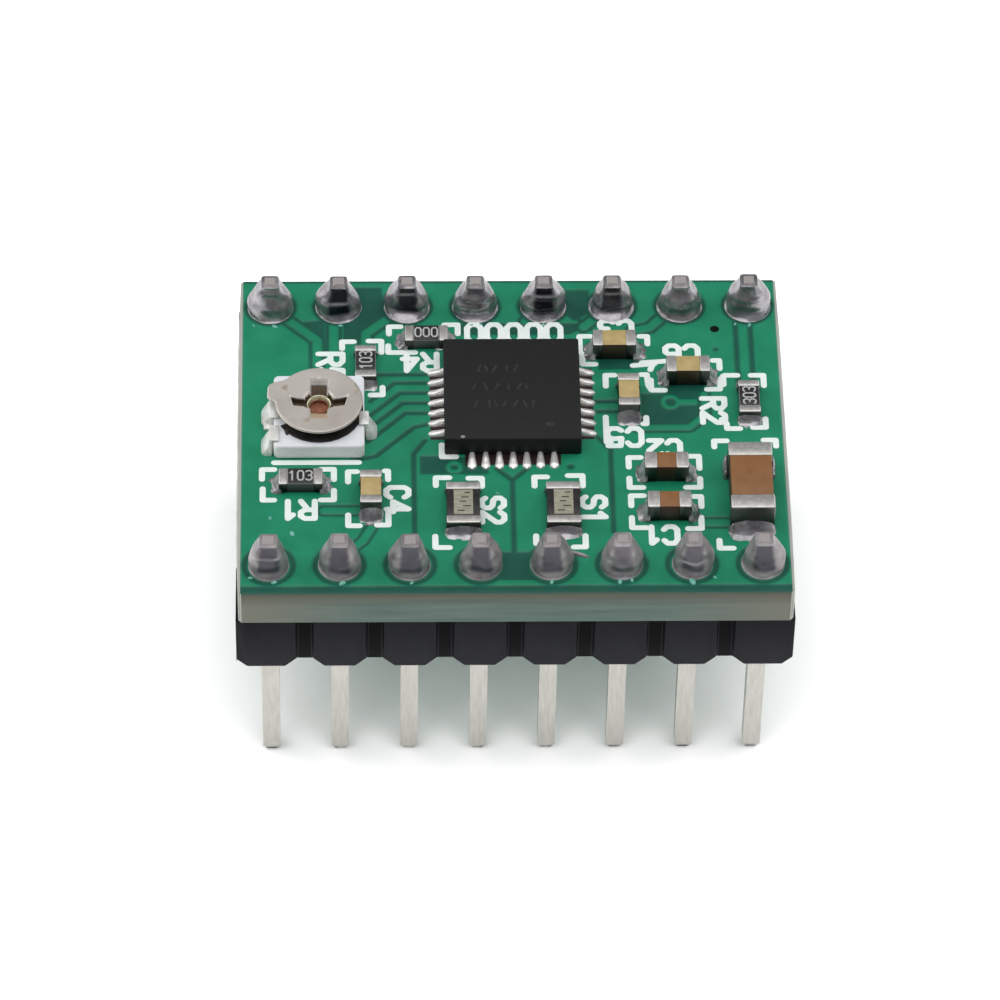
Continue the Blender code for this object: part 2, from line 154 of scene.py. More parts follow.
class Look:
    """A material in the making: each method adds nodes and gives back their output."""

    def __init__(self, name, colour, roughness, metallic=0.0, shine=0.5):
        made = MATERIALS[name] = bpy.data.materials.new(name)
        made.use_nodes = True
        self.tree = made.node_tree
        self.shader = self.tree.nodes["Principled BSDF"]
        self.put(self.shader, Base_Color=colour, Roughness=roughness)
        self.put(self.shader, Metallic=metallic, Specular_IOR_Level=shine)

    def put(self, made, **values):
        """Set a node's inputs and properties, and link the sockets among the values."""
        for key, value in values.items():
            socket = made.inputs.get(key.replace("_", " "))
            if socket is None:
                setattr(made, key, value)
            elif isinstance(value, bpy.types.NodeSocket):
                self.tree.links.new(value, socket)
            else:
                socket.default_value = (*value, 1.0) if socket.type == "RGBA" else value

    def node(self, kind, output, **values):
        made = self.tree.nodes.new("ShaderNode" + kind)
        self.put(made, **values)
        return made.outputs[output]

    def value(self, name):
        """A number that the mesh holds at each point."""
        return self.node("Attribute", "Fac", attribute_name=name)

    def noise(self, scale, detail=4.0, stretch=WHITE):
        """Noise over the piece's own coordinates; scale counts features per metre."""
        place = self.node("Mapping", "Vector", Vector=self.node("TexCoord", "Object"), Scale=stretch)
        return self.node("TexNoise", "Fac", Vector=place, Scale=scale, Detail=detail)

    def ramp(self, fac, low=BLACK, high=WHITE, start=0.3, stop=0.7):
        """A colour that runs from low to high as fac goes from start to stop."""
        made = self.node("ValToRGB", "Color", Fac=fac)
        for element, place, colour in zip(made.node.color_ramp.elements, (start, stop), (low, high)):
            element.position, element.color = place, (*colour, 1.0)
        return made

    def spread(self, fac, low, high):
        """A number that runs from low to high as fac goes from 0 to 1."""
        return self.node("MapRange", "Result", Value=fac, To_Min=low, To_Max=high)

    def share(self, vector, axis, low, high, operation=None):
        """0 to 1 as one coordinate of a vector goes from low to high."""
        number = self.node("SeparateXYZ", axis, Vector=vector)
        if operation:
            number = self.node("Math", "Value", operation=operation, Value=number)
        return self.node("MapRange", "Result", Value=number, From_Min=low, From_Max=high)

    def height(self, low, high):
        """0 at one height over the board, 1 at another."""
        low, high = ((BOARD_TOP + each) * MM for each in (low, high))
        return self.share(self.node("TexCoord", "Object"), "Z", low, high)

    def along(self, low, high):
        """0 at one distance from the middle of the board's length, 1 at another."""
        return self.share(self.node("TexCoord", "Object"), "X", low * MM, high * MM, "ABSOLUTE")

    def facing(self, axis, low, high):
        """0 to 1 as the surface turns towards an axis."""
        return self.share(self.node("NewGeometry", "Normal"), axis, low, high)

    def product(self, first, second):
        made = self.node("Math", "Value", operation="MULTIPLY", Value=first)
        self.tree.links.new(second, made.node.inputs[1])
        return made

    def mix(self, factor, first, second):
        """One colour where factor is 0 and another where it is 1; either may be a plain colour."""
        return self.node("Mix", "Result", data_type="RGBA", Factor=factor, A=first, B=second)

    def finish(self, colour, grain, depth, roughness=None):
        """The surface: a colour, and a bump and roughness that follow one grain."""
        bump = self.node("Bump", "Normal", Strength=1.0, Distance=depth * MM, Height=grain)
        self.put(self.shader, Base_Color=colour, Normal=bump)
        if roughness:
            self.put(self.shader, Roughness=self.spread(grain, *roughness))


def make_mask():
    """Solder mask: lighter where copper lies under it, darker over bare laminate."""
    made = Look("solder_mask", (0.012, 0.25, 0.12), 0.3, shine=0.3)
    shade = made.noise(900.0)
    over_laminate, over_copper = made.ramp(shade, *MASK_ON_LAMINATE), made.ramp(shade, *MASK_ON_COPPER)
    colour = made.mix(made.value("copper"), over_laminate, over_copper)
    made.finish(colour, made.noise(5200.0, detail=2.0), 0.005, (0.26, 0.42))


def make_laminate():
    """The cut edge of the board: glass layers in resin, browner at the front under the top mask."""
    made = Look("laminate_edge", (0.2, 0.22, 0.19), 0.6)
    raw = (0.44, 0.45, 0.42)
    layers = made.noise(1300.0, detail=5.0, stretch=(0.2, 0.2, 3.0))
    colour = made.ramp(layers, (0.046, 0.098, 0.082), (0.108, 0.163, 0.137), 0.25, 0.75)
    colour = made.mix(made.along(5.5, 9.8), colour, (0.15, 0.156, 0.118))
    front = made.facing("Y", -0.3, -0.7)
    colour = made.mix(made.product(front, made.height(-0.75, -0.05)), colour, (0.068, 0.062, 0.036))
    colour = made.mix(made.product(front, made.height(-0.12, -0.05)), colour, (0.01, 0.065, 0.045))
    colour = made.mix(made.facing("X", -0.2, -0.6), colour, raw)
    colour = made.mix(made.facing("X", 0.2, 0.6), colour, raw)
    top = made.mix(made.along(9.9, 9.93), MASK_ON_LAMINATE[0], (0.42, 0.44, 0.4))
    made.finish(made.mix(made.facing("Z", 0.3, 0.7), colour, top), layers, 0.02)


def make_ceramic(name, low, high, side, foot=0.12):
    """A part's ceramic: plain on top, its sides a painted colour that darkens towards the board by the given
    share: painted shade on the chip parts, painted light on the trimmer's white base.
    """
    made = Look(name, low, 0.5)
    fac = made.noise(2200.0)
    # Painted shade on the sides, deepest at the foot; on the white base the side colour is painted light.
    painted_sides = made.mix(made.height(0.05, 0.85), tuple(foot * c for c in side), side)
    colour = made.mix(made.facing("Z", 0.35, 0.75), painted_sides, made.ramp(fac, low, high))
    made.finish(colour, fac, 0.004, (0.42, 0.58))


def make_tin():
    """Tinned end caps: bright on top, with painted shade down their sides that darkens towards the board."""
    made = Look("tinned_end_cap", (0.5, 0.5, 0.48), 0.36, 0.9)
    fac = made.noise(5000.0)
    top = made.ramp(fac, (0.52, 0.505, 0.485), (0.67, 0.65, 0.625))
    # Painted shade on the sides: near black at the board, dull grey higher up.
    painted_sides = made.mix(made.height(0.15, 0.85), (0.012, 0.014, 0.012), (0.13, 0.13, 0.12))
    made.finish(made.mix(made.facing("Z", 0.2, 0.7), painted_sides, top), fac, 0.006, (0.3, 0.46))


def make_solder(name, low, high, reflection_dark, roughness, scale, metallic, depth):
    """Solder, with a painted dark reflection where the mesh's painted reflection value says so."""
    made = Look(name, low, roughness[0], metallic)
    fac = made.noise(scale)
    made.finish(made.mix(made.value("painted_reflection"), made.ramp(fac, low, high), reflection_dark), fac, depth, roughness)


def make_tinned_pin():
    """Tinned wire: drawn lengthways, dull with solder above the board, sheared at its foot."""
    made = Look("tinned_pin", (0.5, 0.5, 0.46), 0.35, 0.85)
    grain = made.noise(2500.0, stretch=(4.0, 4.0, 0.5))
    soldered = made.height(0.4, 0.6)
    rim = made.mix(made.facing("Z", 0.3, 0.6), (0.42, 0.39, 0.38), (0.66, 0.62, 0.61))
    top = made.mix(made.facing("Z", 0.8, 0.95), rim, (0.4, 0.37, 0.36))
    colour = made.mix(soldered, made.ramp(grain, (0.44, 0.43, 0.395), (0.54, 0.53, 0.49)), top)
    sheared = made.ramp(made.noise(1500.0), start=0.46, stop=0.54)
    burnt = made.product(made.height(0.22 - BOARD_TOP, 0.06 - BOARD_TOP), sheared)
    made.finish(made.mix(burnt, colour, (0.05, 0.05, 0.05)), grain, 0.005, (0.3, 0.5))
    made.put(made.shader, Metallic=made.spread(soldered, 0.85, 0.25))


def make_rotor_metal():
    """Nickel silver, stained here and there, with a painted near-white highlight on the slot's walls and a
    dark brown down in the slot that is partly painted shade.
    """
    made = Look("rotor_metal", (0.5, 0.46, 0.42), 0.45, 0.55)
    slot = made.value("slot")
    colour = made.ramp(made.noise(420.0, detail=3.0), (0.48, 0.44, 0.39), (0.62, 0.58, 0.54), 0.3, 0.65)
    stain = made.ramp(made.noise(1300.0, detail=2.0), start=0.62, stop=0.74)
    colour = made.mix(stain, colour, (0.33, 0.26, 0.18))
    # Painted highlight: near white on the slot's walls.
    colour = made.mix(made.ramp(slot, start=0.0, stop=0.2), colour, (1.0, 0.98, 0.95))
    # Dark brown down in the slot, partly painted shade.
    colour = made.mix(made.ramp(slot, start=0.8, stop=1.0), colour, (0.085, 0.058, 0.036))
    stained = made.ramp(made.noise(1700.0), (0.46, 0.24, 0.12), (0.82, 0.7, 0.52))
    made.finish(made.mix(made.value("lip"), colour, stained), made.noise(4200.0), 0.006, (0.36, 0.55))


def make_mottled(name, low, high, roughness, scale=2500.0, shine=0.5, metallic=0.0, depth=0.004,
                 stretch=WHITE):
    """A material whose colour, roughness and surface vary with one noise."""
    made = Look(name, low, roughness[0], metallic, shine)
    fac = made.noise(scale, stretch=stretch)
    made.finish(made.ramp(fac, low, high), fac, depth, roughness)


# Ceramics: low and high colour on top, colour of the sides, and the share of it left at the foot. The side
# colour is painted shade on the chip parts and painted light on the trimmer's white base.
CERAMICS = {
    "beige_ceramic": ((0.42, 0.31, 0.125), (0.53, 0.4, 0.175), (0.06, 0.036, 0.012)),
    "brown_ceramic": ((0.22, 0.093, 0.028), (0.27, 0.12, 0.04), (0.07, 0.026, 0.012)),
    "alumina": ((0.3, 0.31, 0.3), (0.42, 0.43, 0.42), (0.115, 0.145, 0.14)),
    # The white base's sides are brighter than its top: painted light.
    "white_ceramic": ((0.76, 0.79, 0.83), (0.85, 0.87, 0.91), WHITE, 1.0),
}
# Solders: low and high colour, colour of the painted dark reflection, roughness, features per metre, metal,
# bump in mm.
SOLDERS = {
    "bright_solder": (
        (0.2, 0.195, 0.21), (0.46, 0.44, 0.46), (0.018, 0.018, 0.026), (0.18, 0.36), 2200.0, 0.68, 0.03,
    ),
    "dull_solder": (
        (0.22, 0.205, 0.215), (0.42, 0.39, 0.4), (0.05, 0.05, 0.068), (0.34, 0.5), 1800.0, 0.45, 0.014,
    ),
}
# The rest: low and high colour, roughness, then any of features per metre, shine, metal, bump in mm, stretch.
MOTTLED = {
    "trimmer_terminal": ((0.66, 0.65, 0.61), (0.97, 0.97, 0.95), (0.3, 0.45), 2600.0, 0.5, 0.25, 0.012),
    "raw_board_edge": (
        (0.36, 0.38, 0.34), (0.56, 0.57, 0.53), (0.6, 0.8), 1800.0, 0.5, 0.0, 0.03, (1.0, 0.4, 2.0),
    ),
    "silkscreen_ink": ((0.8, 0.9, 0.86), (0.92, 0.98, 0.96), (0.5, 0.65)),
    "header_plastic": ((0.006, 0.0066, 0.01), (0.009, 0.0098, 0.014), (0.5, 0.66), 3000.0, 0.12),
    # A darker copy of the header plastic: painted shade for the grooves between positions.
    "header_recess": ((0.0018, 0.0018, 0.0026), (0.003, 0.003, 0.0042), (0.6, 0.75), 3000.0, 0.08),
    "lead_solder": ((0.78, 0.76, 0.74), (0.98, 0.96, 0.94), (0.26, 0.42), 3000.0, 0.5, 0.6, 0.006),
    "solder_land": ((0.012, 0.006, 0.005), (0.036, 0.015, 0.012), (0.4, 0.6), 3000.0, 0.3),
    "moulded_epoxy": (
        (0.006, 0.0062, 0.0072), (0.01, 0.0102, 0.0114), (0.5, 0.66), 9000.0, 0.3, 0.0, 0.005,
    ),
    "marked_epoxy": ((0.018, 0.018, 0.0175), (0.036, 0.035, 0.033), (0.5, 0.6), 5000.0, 0.3),
    "chip_speck": ((0.18, 0.18, 0.19), (0.3, 0.3, 0.31), (0.4, 0.5), 9000.0),
    "resistor_glaze": ((0.01, 0.009, 0.01), (0.026, 0.022, 0.023), (0.25, 0.45), 4000.0),
    "printed_mark": ((0.38, 0.39, 0.4), (0.54, 0.55, 0.56), (0.5, 0.6), 8000.0),
    "printed_label": (
        (0.25, 0.24, 0.17), (0.38, 0.37, 0.29), (0.5, 0.6), 4200.0, 0.5, 0.0, 0.004, (0.6, 2.4, 1.0),
    ),
    "carbon_film": ((0.006, 0.006, 0.006), (0.022, 0.021, 0.019), (0.3, 0.5), 2600.0, 0.5, 0.0, 0.01),
    "film_end": ((0.01, 0.006, 0.005), (0.045, 0.028, 0.024), (0.35, 0.55), 3200.0),
    "rivet_brass": ((0.62, 0.59, 0.4), (0.8, 0.78, 0.58), (0.2, 0.36), 3000.0, 0.5, 0.8, 0.008),
    # Reddish brown of the bore, also used as a painted highlight on the rivet's front lip.
    "rivet_bore": ((0.16, 0.045, 0.024), (0.38, 0.14, 0.075), (0.35, 0.55), 4200.0, 0.5, 0.2, 0.01),
    # Near black: painted shade for the open via's hole.
    "open_via": ((0.002, 0.004, 0.003), (0.005, 0.008, 0.006), (0.5, 0.7), 4000.0, 0.1),
    # Pale glossy green: partly painted highlight on the flux beads.
    "flux_residue": ((0.08, 0.36, 0.28), (0.26, 0.62, 0.52), (0.05, 0.15), 4000.0),
}


def make_materials():
    for make in (make_mask, make_laminate, make_tin, make_tinned_pin, make_rotor_metal):
        make()
    for table, make in ((CERAMICS, make_ceramic), (SOLDERS, make_solder), (MOTTLED, make_mottled)):
        for name, values in table.items():
            make(name, *values)


# ---------------------------------------------------------------- mesh tools


def to_mesh(name, bm):
    bmesh.ops.recalc_face_normals(bm, faces=bm.faces)
    mesh = bpy.data.meshes.new(name)
    bm.to_mesh(mesh)
    bm.free()
    return mesh


def add_piece(name, mesh, looks, replaces=(), body=FIXED, smooth=True):
    """A piece from a mesh already in the frame's metres, riding on a body."""
    if isinstance(mesh, bmesh.types.BMesh):
        mesh = to_mesh(name, mesh)
    for each in looks:
        mesh.materials.append(MATERIALS[each])
    made = bpy.data.objects.new(name, mesh)
    bpy.context.scene.collection.objects.link(made)
    if smooth:
        mesh.shade_smooth()
        mesh.set_sharp_from_angle(angle=SMOOTH_ANGLE)
    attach(made, body)
    if replaces:
        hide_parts(*replaces)


def add_values(mesh, name, numbers):
    """A number at each point of a mesh, for its material."""
    made = mesh.attributes.new(name, "FLOAT", "POINT")
    made.data.foreach_set("value", np.asarray(numbers, np.float32).reshape(-1))


def paint(node, finish):
    """Give a CAD node that stays its finished material."""
    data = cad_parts[node].data
    data.materials.clear()
    data.materials.append(MATERIALS[finish])


def smooth_step(value):
    value = np.clip(value, 0.0, 1.0)
    return value * value * (3.0 - 2.0 * value)


def add_rings(bm, rings):
    """A skin through rings of equally many points, with its ends closed."""
    loops = [[bm.verts.new(point) for point in ring] for ring in rings]
    for lower, upper in zip(loops, loops[1:]):
        for i, vert in enumerate(lower):
            j = (i + 1) % len(lower)
            bm.faces.new((vert, lower[j], upper[j], upper[i]))
    bm.faces.new(loops[0])
    bm.faces.new(loops[-1])


def add_box(bm, low, high, edge, segments=2):
    """A box with rounded edges, from its low and high corners in plan and height."""
    corners = [mm(x, y, z) for z in (low[2], high[2]) for y in (low[1], high[1]) for x in (low[0], high[0])]
    verts = [bm.verts.new(corner) for corner in corners]
    quads = ((0, 1, 3, 2), (4, 5, 7, 6), (0, 1, 5, 4), (2, 3, 7, 6), (0, 2, 6, 4), (1, 3, 7, 5))
    faces = [bm.faces.new([verts[i] for i in quad]) for quad in quads]
    bmesh.ops.recalc_face_normals(bm, faces=faces)
    edges = list({e for face in faces for e in face.edges})
    bmesh.ops.bevel(bm, geom=edges, offset=edge * MM, segments=segments, profile=0.5, affect="EDGES")


def soften(bm, angle, edge, segments=2):
    """Round the edges that are sharper than an angle."""
    sharp = [e for e in bm.edges if e.is_manifold and e.calc_face_angle() > math.radians(angle)]
    bmesh.ops.bevel(bm, geom=sharp, offset=edge * MM, segments=segments, profile=0.5, affect="EDGES",
                    clamp_overlap=True)


def capsule(start, end, half, steps=5):
    """The outline of one straight stroke with round ends, anticlockwise."""
    heading = math.atan2(end[1] - start[1], end[0] - start[0])
    outline = []
    for (x, y), first in ((end, heading - math.pi / 2), (start, heading + math.pi / 2)):
        for i in range(steps + 1):
            angle = first + math.pi * i / steps
            outline.append((x + half * math.cos(angle), y + half * math.sin(angle)))
    return outline


def strokes(paths, width):
    """The outlines of the straight strokes that make up the paths."""
    return [capsule(start, end, width / 2) for path in paths for start, end in zip(path, path[1:])]


def add_ink(bm, outlines, low, high):
    """One flat layer in the shape of all the outlines together."""
    points, faces = [], []
    for outline in outlines:
        faces.append(list(range(len(points), len(points) + len(outline))))
        points.extend(Vector(point) for point in outline)
    places, _, triangles, _, _, owners = delaunay_2d_cdt(points, [], faces, 1, 1e-5)
    inside = [corners for corners, owner in zip(triangles, owners) if owner]
    used = sorted({i for corners in inside for i in corners})
    bottom = {i: bm.verts.new(mm(places[i].x, places[i].y, low)) for i in used}
    top = {i: bm.verts.new(mm(places[i].x, places[i].y, high)) for i in used}
    edges = {(a, b) for corners in inside for a, b in zip(corners, corners[1:] + corners[:1])}
    for corners in inside:
        bm.faces.new([top[i] for i in corners])
        bm.faces.new([bottom[i] for i in reversed(corners)])
    for a, b in sorted(edges):
        if (b, a) not in edges:
            bm.faces.new((bottom[a], bottom[b], top[b], top[a]))


def add_print(name, outlines, low, high, finish, smooth=False):
    """A thin flat piece in the shape of all the outlines together."""
    bm = bmesh.new()
    add_ink(bm, outlines, low, high)
    add_piece(name, bm, [finish], smooth=smooth)


# ---------------------------------------------------------------- board relief


def path_distance(px, py, points):
    """How far each grid point lies from a path."""
    best = np.full(px.shape, np.inf)
    for (ax, ay), (bx, by) in zip(points, points[1:]):
        dx, dy = bx - ax, by - ay
        along = np.clip(((px - ax) * dx + (py - ay) * dy) / (dx * dx + dy * dy), 0.0, 1.0)
        best = np.minimum(best, np.hypot(px - ax - along * dx, py - ay - along * dy))
    return best


def zone_distance(px, py, corners):
    """Signed distance to a closed outline, negative inside it."""
    inside = np.zeros(px.shape, bool)
    for (ax, ay), (bx, by) in zip(corners, corners[1:] + corners[:1]):
        if ay != by:
            crosses = (ay > py) != (by > py)
            inside ^= crosses & (px < (bx - ax) * (py - ay) / (by - ay) + ax)
    distance = path_distance(px, py, corners + corners[:1])
    return np.where(inside, -distance, distance)


# Bare zones of the top side, as outlines; the two just in front of capacitors beside the chip also darken the
# mask there as painted shade.
BARE_AND_SHADE_ZONES = [
    [
        (-5.9, 7.35), (-4.75, 7.35), (-4.55, 5.85), (-5.15, 5.0), (-5.5, 4.6), (-6.2, 4.6), (-6.2, 5.6),
        (-5.75, 6.2),
    ],
    [(-7.9, 5.6), (-6.85, 5.7), (-6.85, 4.5)], [(-1.9, 5.5), (3.2, 5.5), (2.2, 4.9), (-1.9, 4.9)],
    [(2.0, 7.2), (3.0, 7.2), (3.0, 6.0), (2.4, 5.6), (2.0, 6.0)],
    # Its part above y 1.95 is painted shade in front of a capacitor; the rest is bare laminate.
    [
        (4.75, 1.95), (5.7, 1.95), (5.7, 2.7), (7.2, 2.7), (7.1, 2.1), (6.95, 1.8), (6.95, 0.45),
        (4.75, 0.45),
    ],
    # Bare laminate and painted shade in front of a capacitor.
    [(3.25, 3.75), (3.25, 3.15), (4.4, 3.15), (4.85, 3.3), (4.7, 3.75)],
    [(-1.0, -5.75), (0.9, -5.75), (0.9, -7.1), (-1.0, -7.1)],
    [(-3.4, -1.1), (-3.4, -2.0), (-0.9, -2.0), (-0.9, -1.25), (-2.5, -1.1)],
]
# Traces with a bare gap on both sides: half width of copper, gap, points.
TRACES = [
    (0.17, 0.15, [(-8.89, 6.35), (-8.3, 5.75), (-7.15, 4.65), (-7.15, 3.4)]),
    (0.17, 0.15, [(-6.53, 6.2), (-6.53, 4.1)]),
    (0.17, 0.15, [(-3.95, 6.35), (-4.4, 5.87), (-5.33, 5.0), (-5.36, 3.9)]),
    (0.17, 0.15, [(3.81, 6.35), (2.75, 5.3)]), (0.17, 0.15, [(1.27, 6.35), (0.6, 5.6)]),
    (0.17, 0.15, [(6.35, 6.35), (5.8, 5.9), (5.2, 5.25), (4.6, 5.1)]),
    (0.17, 0.21, [(8.67, 6.2), (8.67, 2.4)]), (0.13, 0.12, [(5.85, 1.51), (7.6, 1.51)]),
    (0.13, 0.14, [(4.6, 0.25), (6.5, 0.25), (7.1, 0.85), (7.1, 1.9)]),
    (0.16, 0.13, [(6.6, -4.4), (7.9, -4.4)]), (0.16, 0.13, [(-6.9, -3.75), (-5.5, -3.75)]),
    (0.15, 0.12, [(-5.2, -4.6), (-5.5, -5.2), (-6.2, -5.9)]),
]
# Narrow gaps between neighbouring pours.
GAPS = [
    [(-3.2, -0.35), (-3.63, -1.0), (-3.63, -4.9)], [(3.1, -0.2), (3.57, -0.8), (3.57, -4.8)],
    [(-0.05, -2.3), (-0.05, -5.7)], [(-0.05, -2.3), (-0.6, -1.75)], [(-0.05, -2.3), (0.5, -1.75)],
    [(-3.1, 2.92), (-4.9, 2.92)], [(-3.1, 2.5), (-4.3, 2.5), (-5.2, 1.6)],
    [(-3.1, 2.0), (-4.1, 2.0), (-5.3, 0.8)], [(-3.1, 1.5), (-4.0, 1.5), (-5.3, 0.2)],
    [(-3.1, 1.0), (-3.9, 1.0), (-5.3, -0.4)],
    [(-3.1, 0.45), (-3.6, 0.3), (-4.6, -0.7), (-5.0, -1.1), (-6.2, -1.45)], [(3.1, 1.55), (3.9, 1.55)],
    [(3.1, 1.05), (3.9, 1.05)], [(3.0, 5.2), (2.4, 5.9)],
]
UNDER_GAPS = [[(-9.8, 0.0), (-4.0, 0.0), (-2.0, 2.0), (-2.0, 7.5)], [(4.0, -7.5), (4.0, -2.0), (9.8, -2.0)]]
GAP_HALF = 0.1
PAD_RING = 0.2
# How far the copper stays back from the board's edges: at front and rear, and underneath in x and y.
FRONT_RIM, REAR_RIM = 0.34, 0.12
UNDER_RIM = (0.25, 0.3)
# How far the mask stays back from the board's edges, how deep its rim is tucked into the board, and
# how far the scored edges stand out.
MASK_BACK, MASK_BACK_Y, MASK_TUCK = 0.08, 0.01, -0.01
SCORE_LEFT, SCORE_RIGHT = 0.095, 0.06
# Plated holes closed by the mask: centre, radius of the copper ring and of the hole.
TENTED_VIAS = [
    (5.85, 1.51, 0.35, 0.2), (7.62, 4.14, 0.2, 0.11), (-2.15, -1.66, 0.3, 0.14), (2.09, -1.66, 0.3, 0.14),
]
OPEN_VIA = (7.62, 5.16, 0.16)


def pin_distance(px, py):
    """How far each grid point lies from the nearest pin's axis."""
    return np.minimum.reduce([np.hypot(px - x, py - y) for x, y in PIN_PLACES.values()])


def cut_gaps(copper, px, py, gaps):
    for path in gaps:
        copper = np.maximum(copper, GAP_HALF - path_distance(px, py, path))
    return copper


def top_copper(px, py):
    """Signed distance to the copper of the top side, negative where there is copper."""
    copper = np.maximum(-py - (BOARD_HALF_Y - FRONT_RIM), py - (BOARD_HALF_Y - REAR_RIM))
    for corners in BARE_AND_SHADE_ZONES:
        copper = np.maximum(copper, -zone_distance(px, py, corners))
    copper = cut_gaps(copper, px, py, GAPS)
    for half, gap, path in TRACES:
        away = path_distance(px, py, path)
        copper = np.maximum(copper, half + gap - away)
        copper = np.minimum(copper, away - half)
    away = pin_distance(px, py)
    copper = np.minimum(np.maximum(copper, FOOT_RADIUS + PAD_RING - away), away - FOOT_RADIUS)
    for x, y, ring, hole in TENTED_VIAS:
        away = np.hypot(px - x, py - y)
        copper = np.maximum(np.minimum(copper, away - ring), hole - away)
    return copper


def under_copper(px, py):
    """The same for the underside: one pour, split once, with a ring round each pin."""
    half_x, half_y = BOARD_HALF_X - UNDER_RIM[0], BOARD_HALF_Y - UNDER_RIM[1]
    copper = cut_gaps(np.maximum(np.abs(px) - half_x, np.abs(py) - half_y), px, py, UNDER_GAPS)
    away = pin_distance(px, py)
    return np.minimum(np.maximum(copper, FOOT_RADIUS + PAD_RING - away), away - FOOT_RADIUS)


def relief_sheet(name, step, copper_of, side):
    """Mask over the laminate, open over the solder feet; side is 1 on top, -1 below."""
    half_x, half_y = BOARD_HALF_X - MASK_BACK, BOARD_HALF_Y - MASK_BACK_Y
    xs, ys = (np.linspace(-half, half, round(2 * half / step) + 1) for half in (half_x, half_y))
    px, py = np.meshgrid(xs, ys)
    share = smooth_step(0.5 - copper_of(px, py) / COPPER_EDGE / 2)
    level = LAMINATE_LEVEL + (COPPER_LEVEL - LAMINATE_LEVEL) * share
    level = np.where((np.abs(px) > half_x - 0.01) | (np.abs(py) > half_y - 0.01), MASK_TUCK, level)
    base = BOARD_TOP if side > 0 else BOARD_BOTTOM
    points = np.stack([px, py, base + side * level], axis=-1).reshape(-1, 3) * MM
    open_over = pin_distance(px, py) < FOOT_OPENING
    index = np.arange(points.shape[0]).reshape(px.shape)
    quads = np.stack([index[:-1, :-1], index[:-1, 1:], index[1:, 1:], index[1:, :-1]], axis=-1)
    kept = ~(open_over[:-1, :-1] & open_over[1:, 1:])
    quads = quads[kept].reshape(-1, 4)[:, ::side]
    mesh = bpy.data.meshes.new(name)
    mesh.from_pydata(points.tolist(), [], quads.tolist())
    add_values(mesh, "copper", share)
    drop_loose(mesh)
    return mesh


def drop_loose(mesh):
    """Remove the grid points that no face uses."""
    bm = bmesh.new()
    bm.from_mesh(mesh)
    bmesh.ops.delete(bm, geom=[v for v in bm.verts if not v.link_faces], context="VERTS")
    bm.to_mesh(mesh)
    bm.free()


def make_board():
    paint("circuit_board", "laminate_edge")
    sheets = ("mask_top", GRID_STEP, top_copper, 1), ("mask_under", UNDERSIDE_STEP, under_copper, -1)
    for name, *values in sheets:
        add_piece(name, relief_sheet(name, *values), ["solder_mask"])
    make_scored_edges()
    # The open via is a near-black disc: painted shade where the hole's inside would be.
    x, y, radius = OPEN_VIA
    outline = capsule((x - 0.01, y), (x + 0.01, y), radius, 10)
    add_print("open_via", [outline], 0.0, COPPER_LEVEL + 0.004, "open_via", smooth=True)
    make_beads()


# A scored edge's section: height, and its share of how far the edge stands out.
SCORE_SECTION = ((-1.5, 0.3), (-1.3, 0.9), (-0.75, 1.0), (-0.25, 1.0), (-0.06, 0.75), (-0.02, 0.3))
SCORE_STEPS = 90


def make_scored_edges():
    """The rough raw edges where the board was snapped from its panel."""
    for name, side, reach in (("left", -1, SCORE_LEFT), ("right", 1, SCORE_RIGHT)):
        rings = []
        for i in range(SCORE_STEPS + 1):
            y = (BOARD_HALF_Y - 0.04) * (2.0 * i / SCORE_STEPS - 1.0)
            taper = min(1.0, 6.0 * min(i, SCORE_STEPS - i) / SCORE_STEPS)
            ring = []
            for z, out in SCORE_SECTION:
                rough = 0.82 + 0.18 * noise.noise(Vector((y * 2.6, z * 3.0, 7.0 * side)))
                ring.append(mm(side * (BOARD_HALF_X + reach * out * taper * rough), y, z))
            inner = side * (BOARD_HALF_X - 0.05)
            ring += [mm(inner, y, SCORE_SECTION[-1][0]), mm(inner, y, SCORE_SECTION[0][0])]
            rings.append(ring)
        bm = bmesh.new()
        add_rings(bm, rings)
        add_piece("scored_edge_" + name, bm, ["raw_board_edge"])


# Beads of flux residue round the joints, paler than the mask as painted highlight: centre and radius.
BEADS = [
    (-9.55, -6.95, 0.06), (-8.7, -7.17, 0.07), (-6.25, -7.22, 0.09), (-3.75, -7.2, 0.06),
    (1.27, -7.2, 0.07), (3.72, -7.2, 0.08), (4.15, -7.12, 0.06), (6.33, -7.2, 0.11), (7.15, -7.02, 0.06),
    (-8.72, 5.36, 0.08), (-6.28, 5.4, 0.06), (-1.42, 5.4, 0.06), (-1.08, 5.42, 0.05), (1.25, 5.4, 0.06),
    (8.4, 5.42, 0.05), (8.93, 5.36, 0.07), (-8.85, -4.1, 0.07), (-8.05, -4.85, 0.09), (-9.5, 5.4, 0.05),
    (-0.6, -2.95, 0.05),
]


def turned(centre, turn, u, v):
    """Plan point that lies u along and v across an axis turned about a centre."""
    c, s = math.cos(turn), math.sin(turn)
    return centre[0] + u * c - v * s, centre[1] + u * s + v * c


def add_drop(bm, x, y, half_x, half_y, height, turn=0.0, seed=0.0, rows=7, steps=20):
    """A low rounded drop: half an ellipsoid, slightly uneven."""
    turn = math.radians(turn)
    rings = []
    for row in range(rows):
        lift = math.pi / 2 * row / rows
        ring = []
        for i in range(steps):
            angle = math.tau * i / steps
            c, s = math.cos(angle), math.sin(angle)
            reach = math.cos(lift) * (1.0 + 0.12 * noise.noise(Vector((c + seed, s, lift))))
            point = turned((x, y), turn, half_x * reach * c, half_y * reach * s)
            ring.append(mm(*point, height * math.sin(lift)))
        rings.append(ring)
    add_rings(bm, rings)


def make_beads():
    bm = bmesh.new()
    for number, (x, y, radius) in enumerate(BEADS):
        add_drop(bm, x, y, radius * 1.6, radius, 0.035 + 0.5 * radius, 17.0 * number, number)
    add_piece("flux_and_highlight_beads", bm, ["flux_residue"])


# ---------------------------------------------------------------- printing

